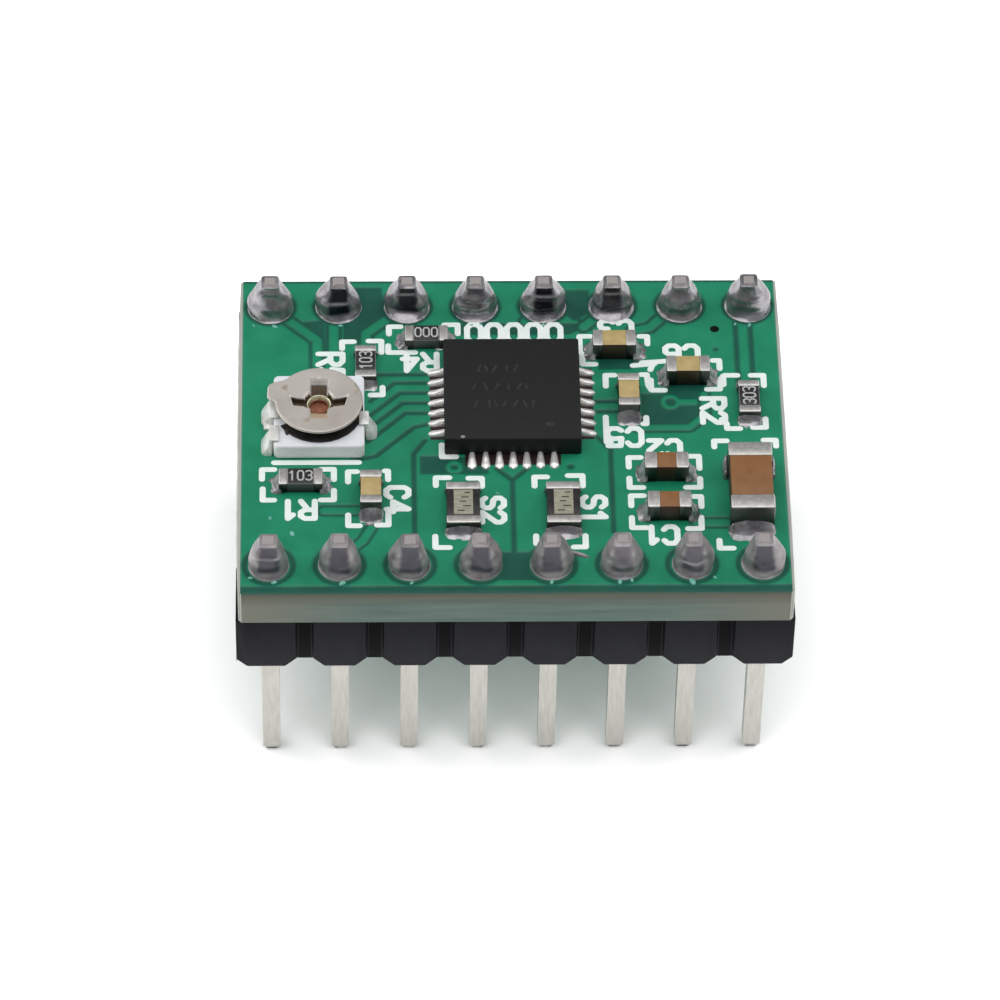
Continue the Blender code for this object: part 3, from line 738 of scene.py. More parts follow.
# Corner brackets of each part's outline: the corner, then where its two legs end.
BRACKETS = [
    (-6.34, 4.68, -5.68, 4.1), (-4.66, 4.71, -5.36, 3.9), (-4.63, 1.78, -5.3, 2.39),
    (-4.6, 5.43, -3.94, 4.83), (-1.82, 5.52, -2.54, 4.83), (-4.63, 3.9, -3.41, 4.48),
    (2.47, 4.91, 3.1, 3.9), (5.21, 4.9, 4.7, 4.28), (2.55, 3.28, 3.25, 4.03), (7.84, 3.67, 7.37, 3.03),
    (3.38, 2.95, 3.94, 2.17), (3.33, -0.6, 3.7, 0.87), (5.04, 0.3, 4.7, 0.85), (9.44, 2.92, 8.75, 2.17),
    (9.42, 0.1, 8.72, 0.76), (4.1, -1.13, 4.77, -1.83), (6.9, -1.08, 6.3, -1.91), (4.1, -2.82, 4.82, -2.13),
    (6.9, -2.82, 6.15, -2.16), (4.13, -2.99, 4.82, -3.71), (6.9, -3.04, 6.37, -3.76),
    (4.13, -4.76, 4.88, -4.04), (6.87, -4.81, 6.15, -4.04), (7.26, -0.33, 7.95, -0.86),
    (9.75, -0.3, 9.08, -0.83), (7.26, -5.76, 7.98, -5.15), (-2.95, -2.08, -2.23, -2.69),
    (-1.05, -2.11, -1.76, -2.74), (-3.0, -5.67, -2.26, -4.9), (0.64, -2.06, 1.33, -2.74),
    (2.62, -2.0, 1.86, -2.74), (0.64, -5.5, 0.91, -4.9), (2.65, -5.67, 1.99, -4.9),
    (-9.27, -1.65, -8.6, -2.35), (-6.43, -1.65, -7.13, -2.38), (-9.24, -3.36, -8.6, -2.58),
    (-6.43, -3.36, -7.13, -2.67), (-6.14, -1.77, -5.59, -2.5), (-4.46, -1.74, -4.8, -2.4),
    (-6.14, -4.61, -5.5, -3.86), (-4.46, -4.58, -5.1, -3.7), (-2.71, -1.28, -1.97, -0.47),
]
# Other printed lines: the trimmer's front edge, and brackets that run into each other.
LINES = [
    [(-8.72, -1.43), (-5.63, -1.43)], [(4.52, 3.32), (5.32, 3.4)], [(4.86, 3.46), (5.84, 3.54)],
    [(5.28, 3.44), (5.16, 3.1)], [(4.8, 2.86), (5.02, 2.86), (5.06, 2.32), (5.17, 2.08), (5.66, 2.08)],
    [(5.16, 2.6), (5.16, 2.1)], [(7.22, 2.12), (7.7, 2.12), (7.74, 2.62), (7.9, 2.81), (8.37, 2.81)],
    [(7.84, 2.34), (7.84, 2.78)], [(7.7, 0.62), (7.87, 0.42), (7.88, 0.16), (8.36, 0.16)],
    [(-2.66, 4.23), (-2.58, 4.23)], [(-9.0, 0.7), (-8.92, 0.6)],
]
# Strokes of each sign on a cell one high; a path's points run left to right, bottom up.
SIGNS = {
    "R": [
        [(0, 0), (0, 1), (0.42, 1), (0.6, 0.86), (0.6, 0.64), (0.42, 0.5), (0.1, 0.5)],
        [(0.3, 0.48), (0.6, 0)],
    ],
    "C": [[(0.6, 0.82), (0.45, 1), (0.15, 1), (0, 0.82), (0, 0.18), (0.15, 0), (0.45, 0), (0.6, 0.18)]],
    "S": [
        [
            (0.6, 0.84), (0.45, 1), (0.15, 1), (0, 0.84), (0, 0.64), (0.15, 0.52), (0.45, 0.48),
            (0.6, 0.36), (0.6, 0.16), (0.45, 0), (0.15, 0), (0, 0.16),
        ],
    ],
    "1": [[(0.08, 0.78), (0.3, 1), (0.3, 0)]],
    "2": [[(0, 0.82), (0.15, 1), (0.45, 1), (0.6, 0.84), (0.6, 0.64), (0, 0), (0.6, 0)]],
    "4": [[(0.45, 0), (0.45, 1), (0, 0.3), (0.62, 0.3)]],
    "5": [
        [
            (0.58, 1), (0.05, 1), (0, 0.56), (0.4, 0.6), (0.6, 0.45), (0.6, 0.15), (0.45, 0), (0.15, 0),
            (0, 0.12),
        ],
    ],
    "6": [
        [
            (0.55, 0.95), (0.2, 1), (0, 0.8), (0, 0.15), (0.15, 0), (0.45, 0), (0.6, 0.15), (0.6, 0.4),
            (0.45, 0.52), (0.1, 0.5),
        ],
    ],
    "0": [
        [
            (0.15, 0), (0.45, 0), (0.6, 0.2), (0.6, 0.8), (0.45, 1), (0.15, 1), (0, 0.8), (0, 0.2),
            (0.12, 0.04),
        ],
    ],
    "3": [
        [(0, 0.9), (0.15, 1), (0.45, 1), (0.6, 0.85), (0.6, 0.65), (0.45, 0.52), (0.25, 0.5)],
        [(0.45, 0.5), (0.6, 0.35), (0.6, 0.15), (0.45, 0), (0.15, 0), (0, 0.1)],
    ],
}
SIGN_PITCH, SIGN_WIDTH = 0.86, 0.6
# Labels beside the parts: text, centre, height of a sign, turn in degrees.
LABELS = [
    ("R5", (-6.66, 3.3), 0.9, -90), ("R4", (-3.35, 3.52), 0.85, 180), ("C3", (3.95, 5.18), 0.8, 180),
    ("C6", (6.35, 3.9), 0.82, 180), ("C5", (4.1, -0.24), 0.85, 180), ("R2", (7.42, 1.06), 0.82, -90),
    ("C2", (5.55, -0.8), 0.78, 180), ("C1", (5.28, -5.0), 0.8, 180), ("S2", (-0.78, -3.77), 0.8, -90),
    ("S1", (2.88, -3.76), 0.84, -90), ("R1", (-7.85, -3.72), 0.84, 180), ("C4", (-4.24, -3.24), 0.8, -90),
    ("00000", (0.15, 4.98), 0.86, 180),
]


def bracket_path(corner_x, corner_y, leg_x, leg_y):
    """A bracket's centre line, drawn half a line inside its outer corner."""
    inset_x = math.copysign(SILK_WIDTH / 2, leg_x - corner_x)
    inset_y = math.copysign(SILK_WIDTH / 2, leg_y - corner_y)
    x, y = corner_x + inset_x, corner_y + inset_y
    return [(leg_x - inset_x, y), (x, y), (x, leg_y - inset_y)]


def sign_paths(text, centre, height, turn, squeeze=1.0):
    """The paths of a row of signs round its centre."""
    width = height * (SIGN_PITCH * (len(text) - 1) + SIGN_WIDTH)
    for place, sign in enumerate(text):
        for path in SIGNS[sign]:
            cell = [((x + place * SIGN_PITCH) * height - width / 2, (y - 0.5) * height) for x, y in path]
            yield [turned(centre, math.radians(turn), squeeze * u, v) for u, v in cell]


def make_printing():
    paths = [bracket_path(*bracket) for bracket in BRACKETS] + LINES
    for text, centre, height, turn in LABELS:
        paths.extend(sign_paths(text, centre, height, turn))
    outlines = strokes(paths, SILK_WIDTH)
    add_print("board_printing", outlines, 0.0, SILK_LEVEL, "silkscreen_ink")


# ---------------------------------------------------------------- pins and solder


def smooth_path(points, steps=4):
    """Points on a smooth curve through the given ones."""
    ends = [points[0], *points, points[-1]]
    made = []
    for corners in zip(ends, ends[1:], ends[2:], ends[3:]):
        for i in range(steps):
            t = i / steps
            made.append(tuple(
                q + 0.5 * ((r - p) * t + (2 * p - 5 * q + 4 * r - e) * t * t
                           + (3 * q - p - 3 * r + e) * t ** 3) for p, q, r, e in zip(*corners)
            ))
    return made + [points[-1]]


def painted_reflection_share(x, y, height, reflection_darkness, ridge):
    """How strong the painted dark reflection is over the pin's front and rear faces, broken on the darkest
    joints by a painted highlight line just above the ridge.
    """
    if abs(y) < PIN_HALF - 0.02:
        return 0.0
    wobble = 0.05 * noise.noise(Vector((height * 4.0, 11.0 * ridge, reflection_darkness)))
    across = smooth_step((0.42 + 0.1 * (1.0 - height) - abs(x + wobble)) / 0.16)
    rise = smooth_step((height - 0.14) / 0.2) * smooth_step((1.36 - height) / 0.05)
    # Painted highlight: a thin pale line just above the ridge.
    line = math.exp(-((height - ridge - 0.07) / 0.045) ** 2) if reflection_darkness > PLAIN_FRONT[0] - 0.25 else 0.0
    return reflection_darkness * across * rise * (1.0 - line)


def joint_ring(place, height, wide, deep, power, seed, unevenness):
    """A ring of solder: an oval at the foot, squarer the closer it comes to the pin's top."""
    ring = []
    for i in range(JOINT_STEPS):
        angle = math.tau * i / JOINT_STEPS
        c, s = math.cos(angle), math.sin(angle)
        out = (abs(c / wide) ** power + abs(s / deep) ** power) ** (-1.0 / power)
        out *= 1.0 + unevenness * noise.noise(Vector((c * 1.2 + seed, s * 1.2, height * 1.5)))
        ring.append(mm(place[0] + out * c, place[1] + out * s, height))
    return ring


def make_joint(name, row):
    """Solder that fills the pad, swells up both sides of the pin and thins to its top."""
    place = PIN_PLACES[name]
    swell = REAR_SWELL if row == "rear" else 1.0
    seed = rng.uniform(0.0, 50.0)
    fat = rng.uniform(0.92, 1.06)
    tall = rng.uniform(0.99, 1.035)
    lean = (rng.uniform(-0.08, 0.08), rng.uniform(-0.03, 0.03))
    reflection_darkness, ridge, size, flare = JOINT_FRONTS.get(name, PLAIN_FRONT)
    foot, top = FOOT_RADIUS * swell, PIN_HALF - 0.01
    rings = [joint_ring(place, -0.005, foot, foot, 2.0, seed, 0.0)]
    for height, reach, depth in smooth_path(JOINT_PROFILE):
        neck = smooth_step((height - 0.5) / 0.75)
        depth += size * math.exp(-((height - ridge) / 0.1) ** 2)
        depth -= flare * math.sin(math.pi * min(height / 0.55, 1.0)) ** 2
        bulge = math.sin(math.pi * min(height / 1.25, 1.0))
        centre = (place[0] + lean[0] * bulge, place[1] + lean[1] * bulge)
        grown = swell + (1.0 - swell) * neck
        wide = PIN_HALF + (reach * grown - PIN_HALF) * (fat + (1.0 - fat) * neck)
        depth *= grown
        uneven = 0.15 * (1.0 - neck) * smooth_step(height / 0.15)
        rings.append(joint_ring(centre, height * tall, wide, depth, 2.0 + 5.0 * neck ** 2, seed, uneven))
    rings.append(joint_ring(place, JOINT_PROFILE[-1][0] * tall + 0.004, top, top, 7.0, seed, 0.0))
    bm = bmesh.new()
    add_rings(bm, rings)
    mesh = to_mesh("joint_" + name, bm)
    places = [vert.co / MM for vert in mesh.vertices]
    # The painted dark reflection over the pin's faces, with its painted highlight line above the ridge.
    line = ridge if size else -1.0
    shares = [painted_reflection_share(p.x - place[0], p.y - place[1], p.z - BOARD_TOP, reflection_darkness, line) for p in places]
    add_values(mesh, "painted_reflection", shares)
    finish = "bright_solder" if row == "rear" else "dull_solder"
    add_piece("joint_" + name, mesh, [finish], ["solder_joint_" + name])


# Stray solder: a spike and the bridges to the sense resistors' pads, then bright drops.
# Each is its centre, half its length and width, height, and turn.
STRAY_SOLDER = {
    "solder_runs": ("dull_solder", (
        (2.22, -5.9, 0.5, 0.1, 0.12, -19.0), (-1.32, -5.32, 0.34, 0.36, 0.3, 10.0),
        (1.32, -5.32, 0.32, 0.36, 0.3, -10.0),
    )),
    "solder_drops": ("bright_solder", (
        (7.73, -2.2, 0.12, 0.14, 0.34, 0.0), (9.43, -2.2, 0.12, 0.14, 0.34, 0.0),
        (7.72, -1.84, 0.14, 0.36, 0.7, 0.0), (9.44, -1.84, 0.12, 0.36, 0.6, 0.0),
    )),
}


def make_joints():
    for name in PIN_NAMES:
        make_joint(name, name.split("_")[0])
    for name, (finish, drops) in STRAY_SOLDER.items():
        bm = bmesh.new()
        for number, (x, y, half_x, half_y, height, turn) in enumerate(drops):
            add_drop(bm, x, y, half_x, half_y, height + COPPER_LEVEL, turn, number)
        add_piece(name, bm, [finish])


def softened(node, made, edge, finish, segments=2, stretch=0.0):
    """A copy of a CAD node with its sharp edges rounded and its front stretched, in the node's place."""
    bm = bmesh.new()
    bm.from_mesh(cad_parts[node].data)
    middle = node_centre(node)[1] * MM
    for vert in bm.verts:
        if vert.co.y < middle:
            vert.co.y -= stretch * MM
    bmesh.ops.remove_doubles(bm, verts=bm.verts, dist=0.001 * MM)
    bmesh.ops.dissolve_limit(bm, angle_limit=math.radians(1), verts=bm.verts, edges=bm.edges)
    soften(bm, 20, edge, segments)
    add_piece(made, bm, [finish], [node])


# Header blocks: the grooves between positions, and the bevels along the bottom.
GROOVE_HALF, GROOVE_DEPTH, GROOVE_SLOPE = 0.27, 0.32, 0.06
WEB_LIFT = 0.08
BEVEL_WIDTH, BEVEL_HEIGHT = 0.38, 0.4


def block_sections(low, high, middles):
    """Places along a header block, with how far its faces and its bottom are cut back there."""
    shoulder = GROOVE_HALF + GROOVE_SLOPE
    made = [(low, 0.0, BEVEL_HEIGHT), (low + BEVEL_WIDTH, 0.0, 0.0)]
    for x in middles:
        made += [(x - shoulder - BEVEL_WIDTH, 0.0, 0.0), (x - shoulder, 0.0, BEVEL_HEIGHT)]
        made += [(x - GROOVE_HALF, GROOVE_DEPTH, WEB_LIFT), (x + GROOVE_HALF, GROOVE_DEPTH, WEB_LIFT)]
        made += [(x + shoulder, 0.0, BEVEL_HEIGHT), (x + shoulder + BEVEL_WIDTH, 0.0, 0.0)]
    return made + [(high - BEVEL_WIDTH, 0.0, 0.0), (high, 0.0, BEVEL_HEIGHT)]


def make_header_blocks():
    for row in ("front", "rear"):
        low, high = ([value / MM for value in corner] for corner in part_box("header_block_" + row))
        places = sorted(x for name, (x, y) in PIN_PLACES.items() if name.startswith(row))
        middles = [(a + b) / 2 for a, b in zip(places, places[1:])]
        rings = []
        for x, cut, lift in block_sections(low[0], high[0], middles):
            y0, y1, z0, z1 = low[1] + cut, high[1] - cut, low[2] + lift, high[2]
            rings.append([Vector((x, y, z)) * MM for y, z in ((y0, z0), (y1, z0), (y1, z1), (y0, z1))])
        bm = bmesh.new()
        add_rings(bm, rings)
        bm.normal_update()
        # Faces across the grooves take the darker copy of the plastic as painted shade.
        for face in bm.faces:
            x = face.calc_center_median().x / MM
            if abs(face.normal.y) > 0.9 and min(abs(x - middle) for middle in middles) < GROOVE_HALF:
                face.material_index = 1
        soften(bm, 15, 0.05)
        add_piece("moulded_block_" + row, bm, ["header_plastic", "header_recess"],
                  ["header_block_" + row])


# ---------------------------------------------------------------- chip parts


def part_axes(name):
    """A chip part's centre, half length, half width, height, and whether it runs along X."""
    x, y, _ = node_centre(name)
    size = node_size(name)
    along_x = size[0] > size[1]
    length, width = (size[0], size[1]) if along_x else (size[1], size[0])
    return (x, y), length / 2, width / 2, size[2], along_x


def laid(centre, along_x, u, v):
    """Plan point from a distance along a part and one across it."""
    return (centre[0] + u, centre[1] + v) if along_x else (centre[0] - v, centre[1] + u)


def span(centre, along_x, u0, u1, v0, v1, low, high):
    """Low and high corners of a box given along and across a part."""
    a, b = laid(centre, along_x, u0, v0), laid(centre, along_x, u1, v1)
    return ((min(a[0], b[0]), min(a[1], b[1]), low), (max(a[0], b[0]), max(a[1], b[1]), high))


def add_fillet(bm, centre, along_x, end, start, reach, half, height, seed, bend):
    """Solder that slopes from a part's end down to its pad."""
    across, down = 12, 8
    rings = []
    for i in range(across + 1):
        side = 2.0 * i / across - 1.0
        fade = (1.0 - abs(side) ** 3.5) ** 0.45 if abs(side) < 1.0 else 0.0
        ring = [(start, 0.0)]
        for j in range(down + 1):
            share = j / down
            out = start + end * reach * (0.35 + 0.65 * fade) * (1.0 - share)
            lift = height * (0.15 + 0.85 * fade) * share ** bend
            lift += 0.05 * fade * noise.noise(Vector((share * 3.0, side * 2.5, seed)))
            ring.append((out, max(lift, 0.0) + 0.012))
        back = start - end * 0.1
        ring.append((back, height * (0.15 + 0.85 * fade) + 0.012))
        ring.append((back, 0.0))
        rings.append([mm(*laid(centre, along_x, u, side * half), z) for u, z in ring])
    add_rings(bm, rings)


def make_chip_part(name, core, slot, cap, reach=0.42, climb=0.55, waist=0.025):
    """Body, two end caps, and solder at both ends."""
    centre, half_length, half_width, height, along_x = part_axes(name)
    inner, side = half_length - cap + 0.01, half_width - waist
    bm = bmesh.new()
    top = PART_LIFT + height
    add_box(bm, *span(centre, along_x, -inner, inner, -side, side, PART_LIFT, top - 0.02), edge=0.02)
    add_piece(name + "_core", bm, [core], [name])
    bm = bmesh.new()
    for end in (-1, 1):
        u0, u1 = sorted((end * half_length, end * (half_length - cap)))
        corners = span(centre, along_x, u0, u1, -half_width, half_width, PART_LIFT, top)
        add_box(bm, *corners, edge=0.06, segments=3)
    add_piece(name + "_caps", bm, ["tinned_end_cap"])
    bm = bmesh.new()
    for end in (-1, 1):
        add_fillet(bm, centre, along_x, end, end * half_length, reach, half_width + 0.06,
                   climb * height + 0.05, rng.uniform(0, 20), 2.3)
    add_piece(name + "_solder", bm, ["bright_solder"])


# Each capacitor's ceramic, and the length of its end caps.
CAPACITORS = {
    "capacitor_rear_centre": ("beige", 0.38), "capacitor_rear_right": ("beige", 0.38),
    "capacitor_beside_chip": ("beige", 0.38), "capacitor_front_left": ("beige", 0.38),
    "capacitor_right_upper": ("brown", 0.46), "capacitor_right_lower": ("brown", 0.46),
    "supply_capacitor": ("brown", 0.66),
}
# The supply capacitor's solder and waist.
SUPPLY = {"reach": 0.62, "climb": 0.38, "waist": 0.045}
RESISTORS = {
    "resistor_rear_left": "103", "resistor_rear_centre": "000", "resistor_right": "303",
    "resistor_front_left": "103",
}
RESISTOR_CAP, SENSE_CAP = 0.32, 0.38
GLAZE_INSET = (0.34, 0.04)
DIGIT_HEIGHT, DIGIT_SQUEEZE, DIGIT_STROKE = 0.44, 0.8, 0.06


def make_chip_parts():
    for name, (colour, cap) in CAPACITORS.items():
        extra = SUPPLY if name == "supply_capacitor" else {}
        make_chip_part(name, colour + "_ceramic", "capacitor_" + colour, cap, **extra)
    for name, digits in RESISTORS.items():
        make_chip_part(name, "alumina", "resistor_body", RESISTOR_CAP)
        add_glaze(name, digits)
    for name in ("sense_resistor_left", "sense_resistor_right"):
        make_chip_part(name, "resistor_glaze", "sense_resistor_body", SENSE_CAP)
        add_label(name)


def add_glaze(name, digits):
    """The dark glaze on a resistor's top, with its value digits."""
    centre, half_length, half_width, height, along_x = part_axes(name)
    top, end, side = PART_LIFT + height, half_length - GLAZE_INSET[0], half_width - GLAZE_INSET[1]
    bm = bmesh.new()
    add_box(bm, *span(centre, along_x, -end, end, -side, side, top - 0.06, top + 0.015), edge=0.03)
    add_piece(name + "_glaze", bm, ["resistor_glaze"])
    paths = sign_paths(digits, centre, DIGIT_HEIGHT, 0 if along_x else 90, DIGIT_SQUEEZE)
    outlines = strokes(paths, DIGIT_STROKE)
    add_print(name + "_digits", outlines, top, top + 0.022, "printed_mark")


# The pale panel's half length and width, and its bars: place along the part, then both ends across it.
LABEL_HALF = (0.59, 0.35)
LABEL_BARS = [
    (-0.42, -0.02, 0.2), (-0.2, -0.26, 0.0), (0.02, -0.08, 0.12), (0.22, -0.18, 0.06), (0.44, -0.24, -0.06),
]
BAR_HALF = 0.022


def add_label(name):
    """The pale panel printed on a sense resistor, with plain dark bars across it."""
    centre, _, _, height, along_x = part_axes(name)
    top = PART_LIFT + height
    u, v = LABEL_HALF
    bm = bmesh.new()
    add_box(bm, *span(centre, along_x, -u, u, -v, v, top - 0.05, top), edge=0.015)
    add_piece(name + "_label", bm, ["printed_label"])
    bars = [capsule(laid(centre, along_x, along, back), laid(centre, along_x, along, front), BAR_HALF)
            for along, back, front in LABEL_BARS]
    add_print(name + "_bars", bars, top - 0.02, top + 0.006, "resistor_glaze")


# ---------------------------------------------------------------- driver chip


def make_driver_chip():
    low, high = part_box("driver_chip_body")
    top = node_heights("driver_chip_body")[1]
    bm = bmesh.new()
    add_box(bm, (low[0] / MM, low[1] / MM, 0.02), (high[0] / MM, high[1] / MM, top), edge=0.07, segments=3)
    add_piece("moulded_chip", bm, ["moulded_epoxy"], ["driver_chip_body"])
    make_chip_marks(top)
    paint("driver_chip_heat_pad", "tinned_end_cap")
    make_leads()


# Faint marks on the chip's top: rows of plain ticks, as the row's y, then each tick's x, lean and reach.
TICK_ROWS = {
    2.42: ((-1.18, 0.05, 0.15), (-0.93, -0.04, 0.12), (-0.62, 0.07, 0.16), (-0.18, 0.0, 0.1),
           (0.15, 0.06, 0.14)),
    1.52: ((-1.38, 0.04, 0.12), (-0.97, -0.06, 0.15), (-0.55, 0.05, 0.11), (-0.12, 0.0, 0.14),
           (0.27, 0.06, 0.12), (0.52, -0.03, 0.1)),
    0.66: ((-1.32, 0.06, 0.14), (-0.84, 0.0, 0.16), (-0.6, -0.05, 0.12), (-0.28, 0.04, 0.1),
           (0.12, 0.06, 0.15), (0.47, -0.04, 0.12), (0.76, 0.02, 0.14)),
}
TICK_HALF = 0.042
DIMPLE = (1.37, -0.36, 0.18, 0.12)
SPECK = (-1.84, -0.96, 0.085, 0.07)
LAND_REACH = 0.5


def oval(x, y, half_x, half_y, steps=16):
    angles = [math.tau * i / steps for i in range(steps)]
    return [(x + half_x * math.cos(a), y + half_y * math.sin(a)) for a in angles]


def make_chip_marks(top):
    ticks = [capsule((x - lean, y - reach), (x + lean, y + reach), TICK_HALF)
             for y, row in TICK_ROWS.items() for x, lean, reach in row]
    add_print("chip_marks", [oval(*DIMPLE)] + ticks, top - 0.01, top + 0.002, "marked_epoxy")
    add_print("chip_speck", [oval(*SPECK)], top - 0.01, top + 0.003, "chip_speck")


def add_lead(bm, centre, along_x, end, start, length, halves, heights, seed, rows=10, across=8):
    """A rounded bar of solder that runs out from the chip and down to its pad."""
    rings = []
    for row in range(rows + 1):
        share = row / rows
        blunt = math.sqrt(max(1.0 - max(0.0, (share - 0.72) / 0.28) ** 2, 0.02))
        half = (halves[0] + (halves[1] - halves[0]) * share) * blunt
        tall = (heights[0] + (heights[1] - heights[0]) * share ** 0.8) * (0.3 + 0.7 * blunt)
        tall *= 1.0 + 0.2 * noise.noise(Vector((share * 2.0, seed, 0.0)))
        u = start + end * length * share
        ring = []
        for i in range(across + 1):
            angle = math.pi * i / across
            point = laid(centre, along_x, u, half * math.cos(angle))
            ring.append(mm(*point, PART_LIFT + tall * math.sin(angle) ** 0.6))
        ring += [mm(*laid(centre, along_x, u, -half), 0.0), mm(*laid(centre, along_x, u, half), 0.0)]
        rings.append(ring)
    add_rings(bm, rings)


def make_leads():
    """Seven solder toes on each side of the chip, over a dark land."""
    x0, y0, _ = node_centre("driver_chip_body")
    half = node_size("driver_chip_body")[0] / 2
    bm = bmesh.new()
    for quarter in range(4):
        along_x = quarter % 2 == 0
        end = 1 if quarter in (0, 1) else -1
        length, halves, heights = FRONT_TOES if quarter == 3 else OTHER_TOES
        for i in range(LEADS_PER_SIDE):
            offset = LEAD_PITCH * (i - (LEADS_PER_SIDE - 1) / 2)
            centre = (x0, y0 + offset) if along_x else (x0 - offset, y0)
            start = end * (half - 0.03)
            add_lead(bm, centre, along_x, end, start, length, halves, heights, rng.uniform(0, 20))
    add_piece("chip_leads", bm, ["lead_solder"])
    reach, row = half + LAND_REACH, LEAD_PITCH * LEADS_PER_SIDE / 2
    bm = bmesh.new()
    for wide, tall in ((reach, row), (row, reach)):
        corners = [(x0 + i * wide, y0 + j * tall) for i, j in ((-1, -1), (1, -1), (1, 1), (-1, 1))]
        add_ink(bm, [corners], 0.0, COPPER_LEVEL + 0.006)
    add_piece("chip_land", bm, ["solder_land"], smooth=False)


# ---------------------------------------------------------------- trimmer

# Plan outlines of the rotor, from its axis.
ROTOR_SLOT = [
    (0.36, -0.98), (0.36, -0.45), (0.57, -0.34), (0.96, -0.28), (1.1, 0.27), (0.57, 0.15), (0.39, 0.45),
    (0.39, 1.08), (-0.39, 1.08), (-0.39, 0.45), (-0.57, 0.15), (-1.1, 0.27), (-0.96, -0.28), (-0.57, -0.34),
    (-0.36, -0.45), (-0.36, -0.98),
]
ROTOR_TAB = [(-1.45, -0.1), (-1.82, 0.06), (-1.9, 0.16), (-1.87, 0.72), (-1.76, 0.86), (-1.1, 1.05)]
ROTOR_DISC, ROTOR_CUP, ROTOR_HOLE = 1.6, 1.28, 0.36
ROTOR_RIM = 0.12
ROTOR_FLOOR = 0.08
SLOT_WALL = 0.12
RIM_ROLL = 0.08
ROTOR_STEPS, ROTOR_ROWS = 288, 52


def tab_reach(angle):
    """How far the rotor reaches at an angle: to its disc, or to its tab's outline."""
    c, s = math.cos(angle), math.sin(angle)
    best = ROTOR_DISC
    for (ax, ay), (bx, by) in zip(ROTOR_TAB, ROTOR_TAB[1:]):
        dx, dy = bx - ax, by - ay
        turn = c * dy - s * dx
        if abs(turn) > 1e-9:
            along = (ax * dy - ay * dx) / turn
            share = (ax * s - ay * c) / turn
            if 0.0 <= share <= 1.0 and along > best:
                best = along
    return best


def rotor_reach(angle, width=0.045, count=7):
    """The same with its corners rounded, as an average over nearby angles."""
    return sum(tab_reach(angle + width * (2 * i / (count - 1) - 1)) for i in range(count)) / count


def ring_mesh(name, rings, **values):
    """A closed skin through rings, the last joined to the first, with a value at each point."""
    count, steps = len(rings), len(rings[0])
    points = [tuple(point) for ring in rings for point in ring]
    faces = []
    for row in range(count):
        after = (row + 1) % count
        for i in range(steps):
            j = (i + 1) % steps
            faces.append((row * steps + i, row * steps + j, after * steps + j, after * steps + i))
    mesh = bpy.data.meshes.new(name)
    mesh.from_pydata(points, [], faces)
    for key, numbers in values.items():
        add_values(mesh, key, numbers)
    bm = bmesh.new()
    bm.from_mesh(mesh)
    bmesh.ops.recalc_face_normals(bm, faces=bm.faces)
    bm.to_mesh(mesh)
    bm.free()
    return mesh


def make_rotor():
    """The stamped rotor: a disc with a rolled rim, sunk in the shape of its slot."""
    axis_x, axis_y, _ = node_centre("trimmer_eyelet")
    low, high = node_heights("trimmer_rotor")
    angles = np.linspace(0.0, math.tau, ROTOR_STEPS, endpoint=False)
    reach = np.array([rotor_reach(a) for a in angles])
    share = np.linspace(0.0, 1.0, ROTOR_ROWS)[:, None] ** 0.9
    radius = ROTOR_HOLE + (reach - ROTOR_HOLE) * share
    px, py = radius * np.cos(angles), radius * np.sin(angles)
    sunk = smooth_step(-zone_distance(px, py, ROTOR_SLOT) / SLOT_WALL)
    front_arm = np.clip((-py - 0.36) / 0.05, 0.0, 1.0)
    # The slot value for the material: the rear arm's wall keeps a wide band of painted highlight, and the
    # other walls reach the dark brown, partly painted shade, sooner.
    slot_glint_shade = np.where(py > 0.42, sunk, np.minimum(3.0 * sunk, 1.0)) * (1.0 - front_arm)
    lip = sunk * front_arm
    sunk = sunk * (1.0 - np.clip((-py - 0.36) / 0.56, 0.0, 1.0))
    edge = np.clip((radius - (reach - RIM_ROLL)) / RIM_ROLL, 0.0, 1.0)
    top = high - 0.7 * RIM_ROLL * (1.0 - np.sqrt(1.0 - edge * edge)) - 0.02 * (radius / ROTOR_DISC) ** 2
    top += 0.02 - (high - low - ROTOR_FLOOR) * sunk
    top = np.minimum(top, high)
    rings = [[mm(axis_x + x, axis_y + y, z) for x, y, z in zip(*row)] for row in zip(px, py, top)]
    depth, cream = list(slot_glint_shade), list(lip)
    under = high - ROTOR_RIM
    skirt = ((None, under + 0.03), (-0.03, under), (ROTOR_CUP + 0.02, under), (ROTOR_CUP, under - 0.03),
             (ROTOR_CUP, low + 0.04), (ROTOR_CUP - 0.04, low), (ROTOR_HOLE, low))
    for flat, z in skirt:
        around = reach if flat is None else reach + flat if flat < 0 else np.full(ROTOR_STEPS, flat)
        rings.append([mm(axis_x + r * math.cos(a), axis_y + r * math.sin(a), z)
                      for r, a in zip(around, angles)])
        depth.append(np.zeros(ROTOR_STEPS))
        cream.append(np.zeros(ROTOR_STEPS))
    add_piece("rotor_disc", ring_mesh("rotor_disc", rings, slot=depth, lip=cream), ["rotor_metal"],
              ["trimmer_rotor"], TURNING)


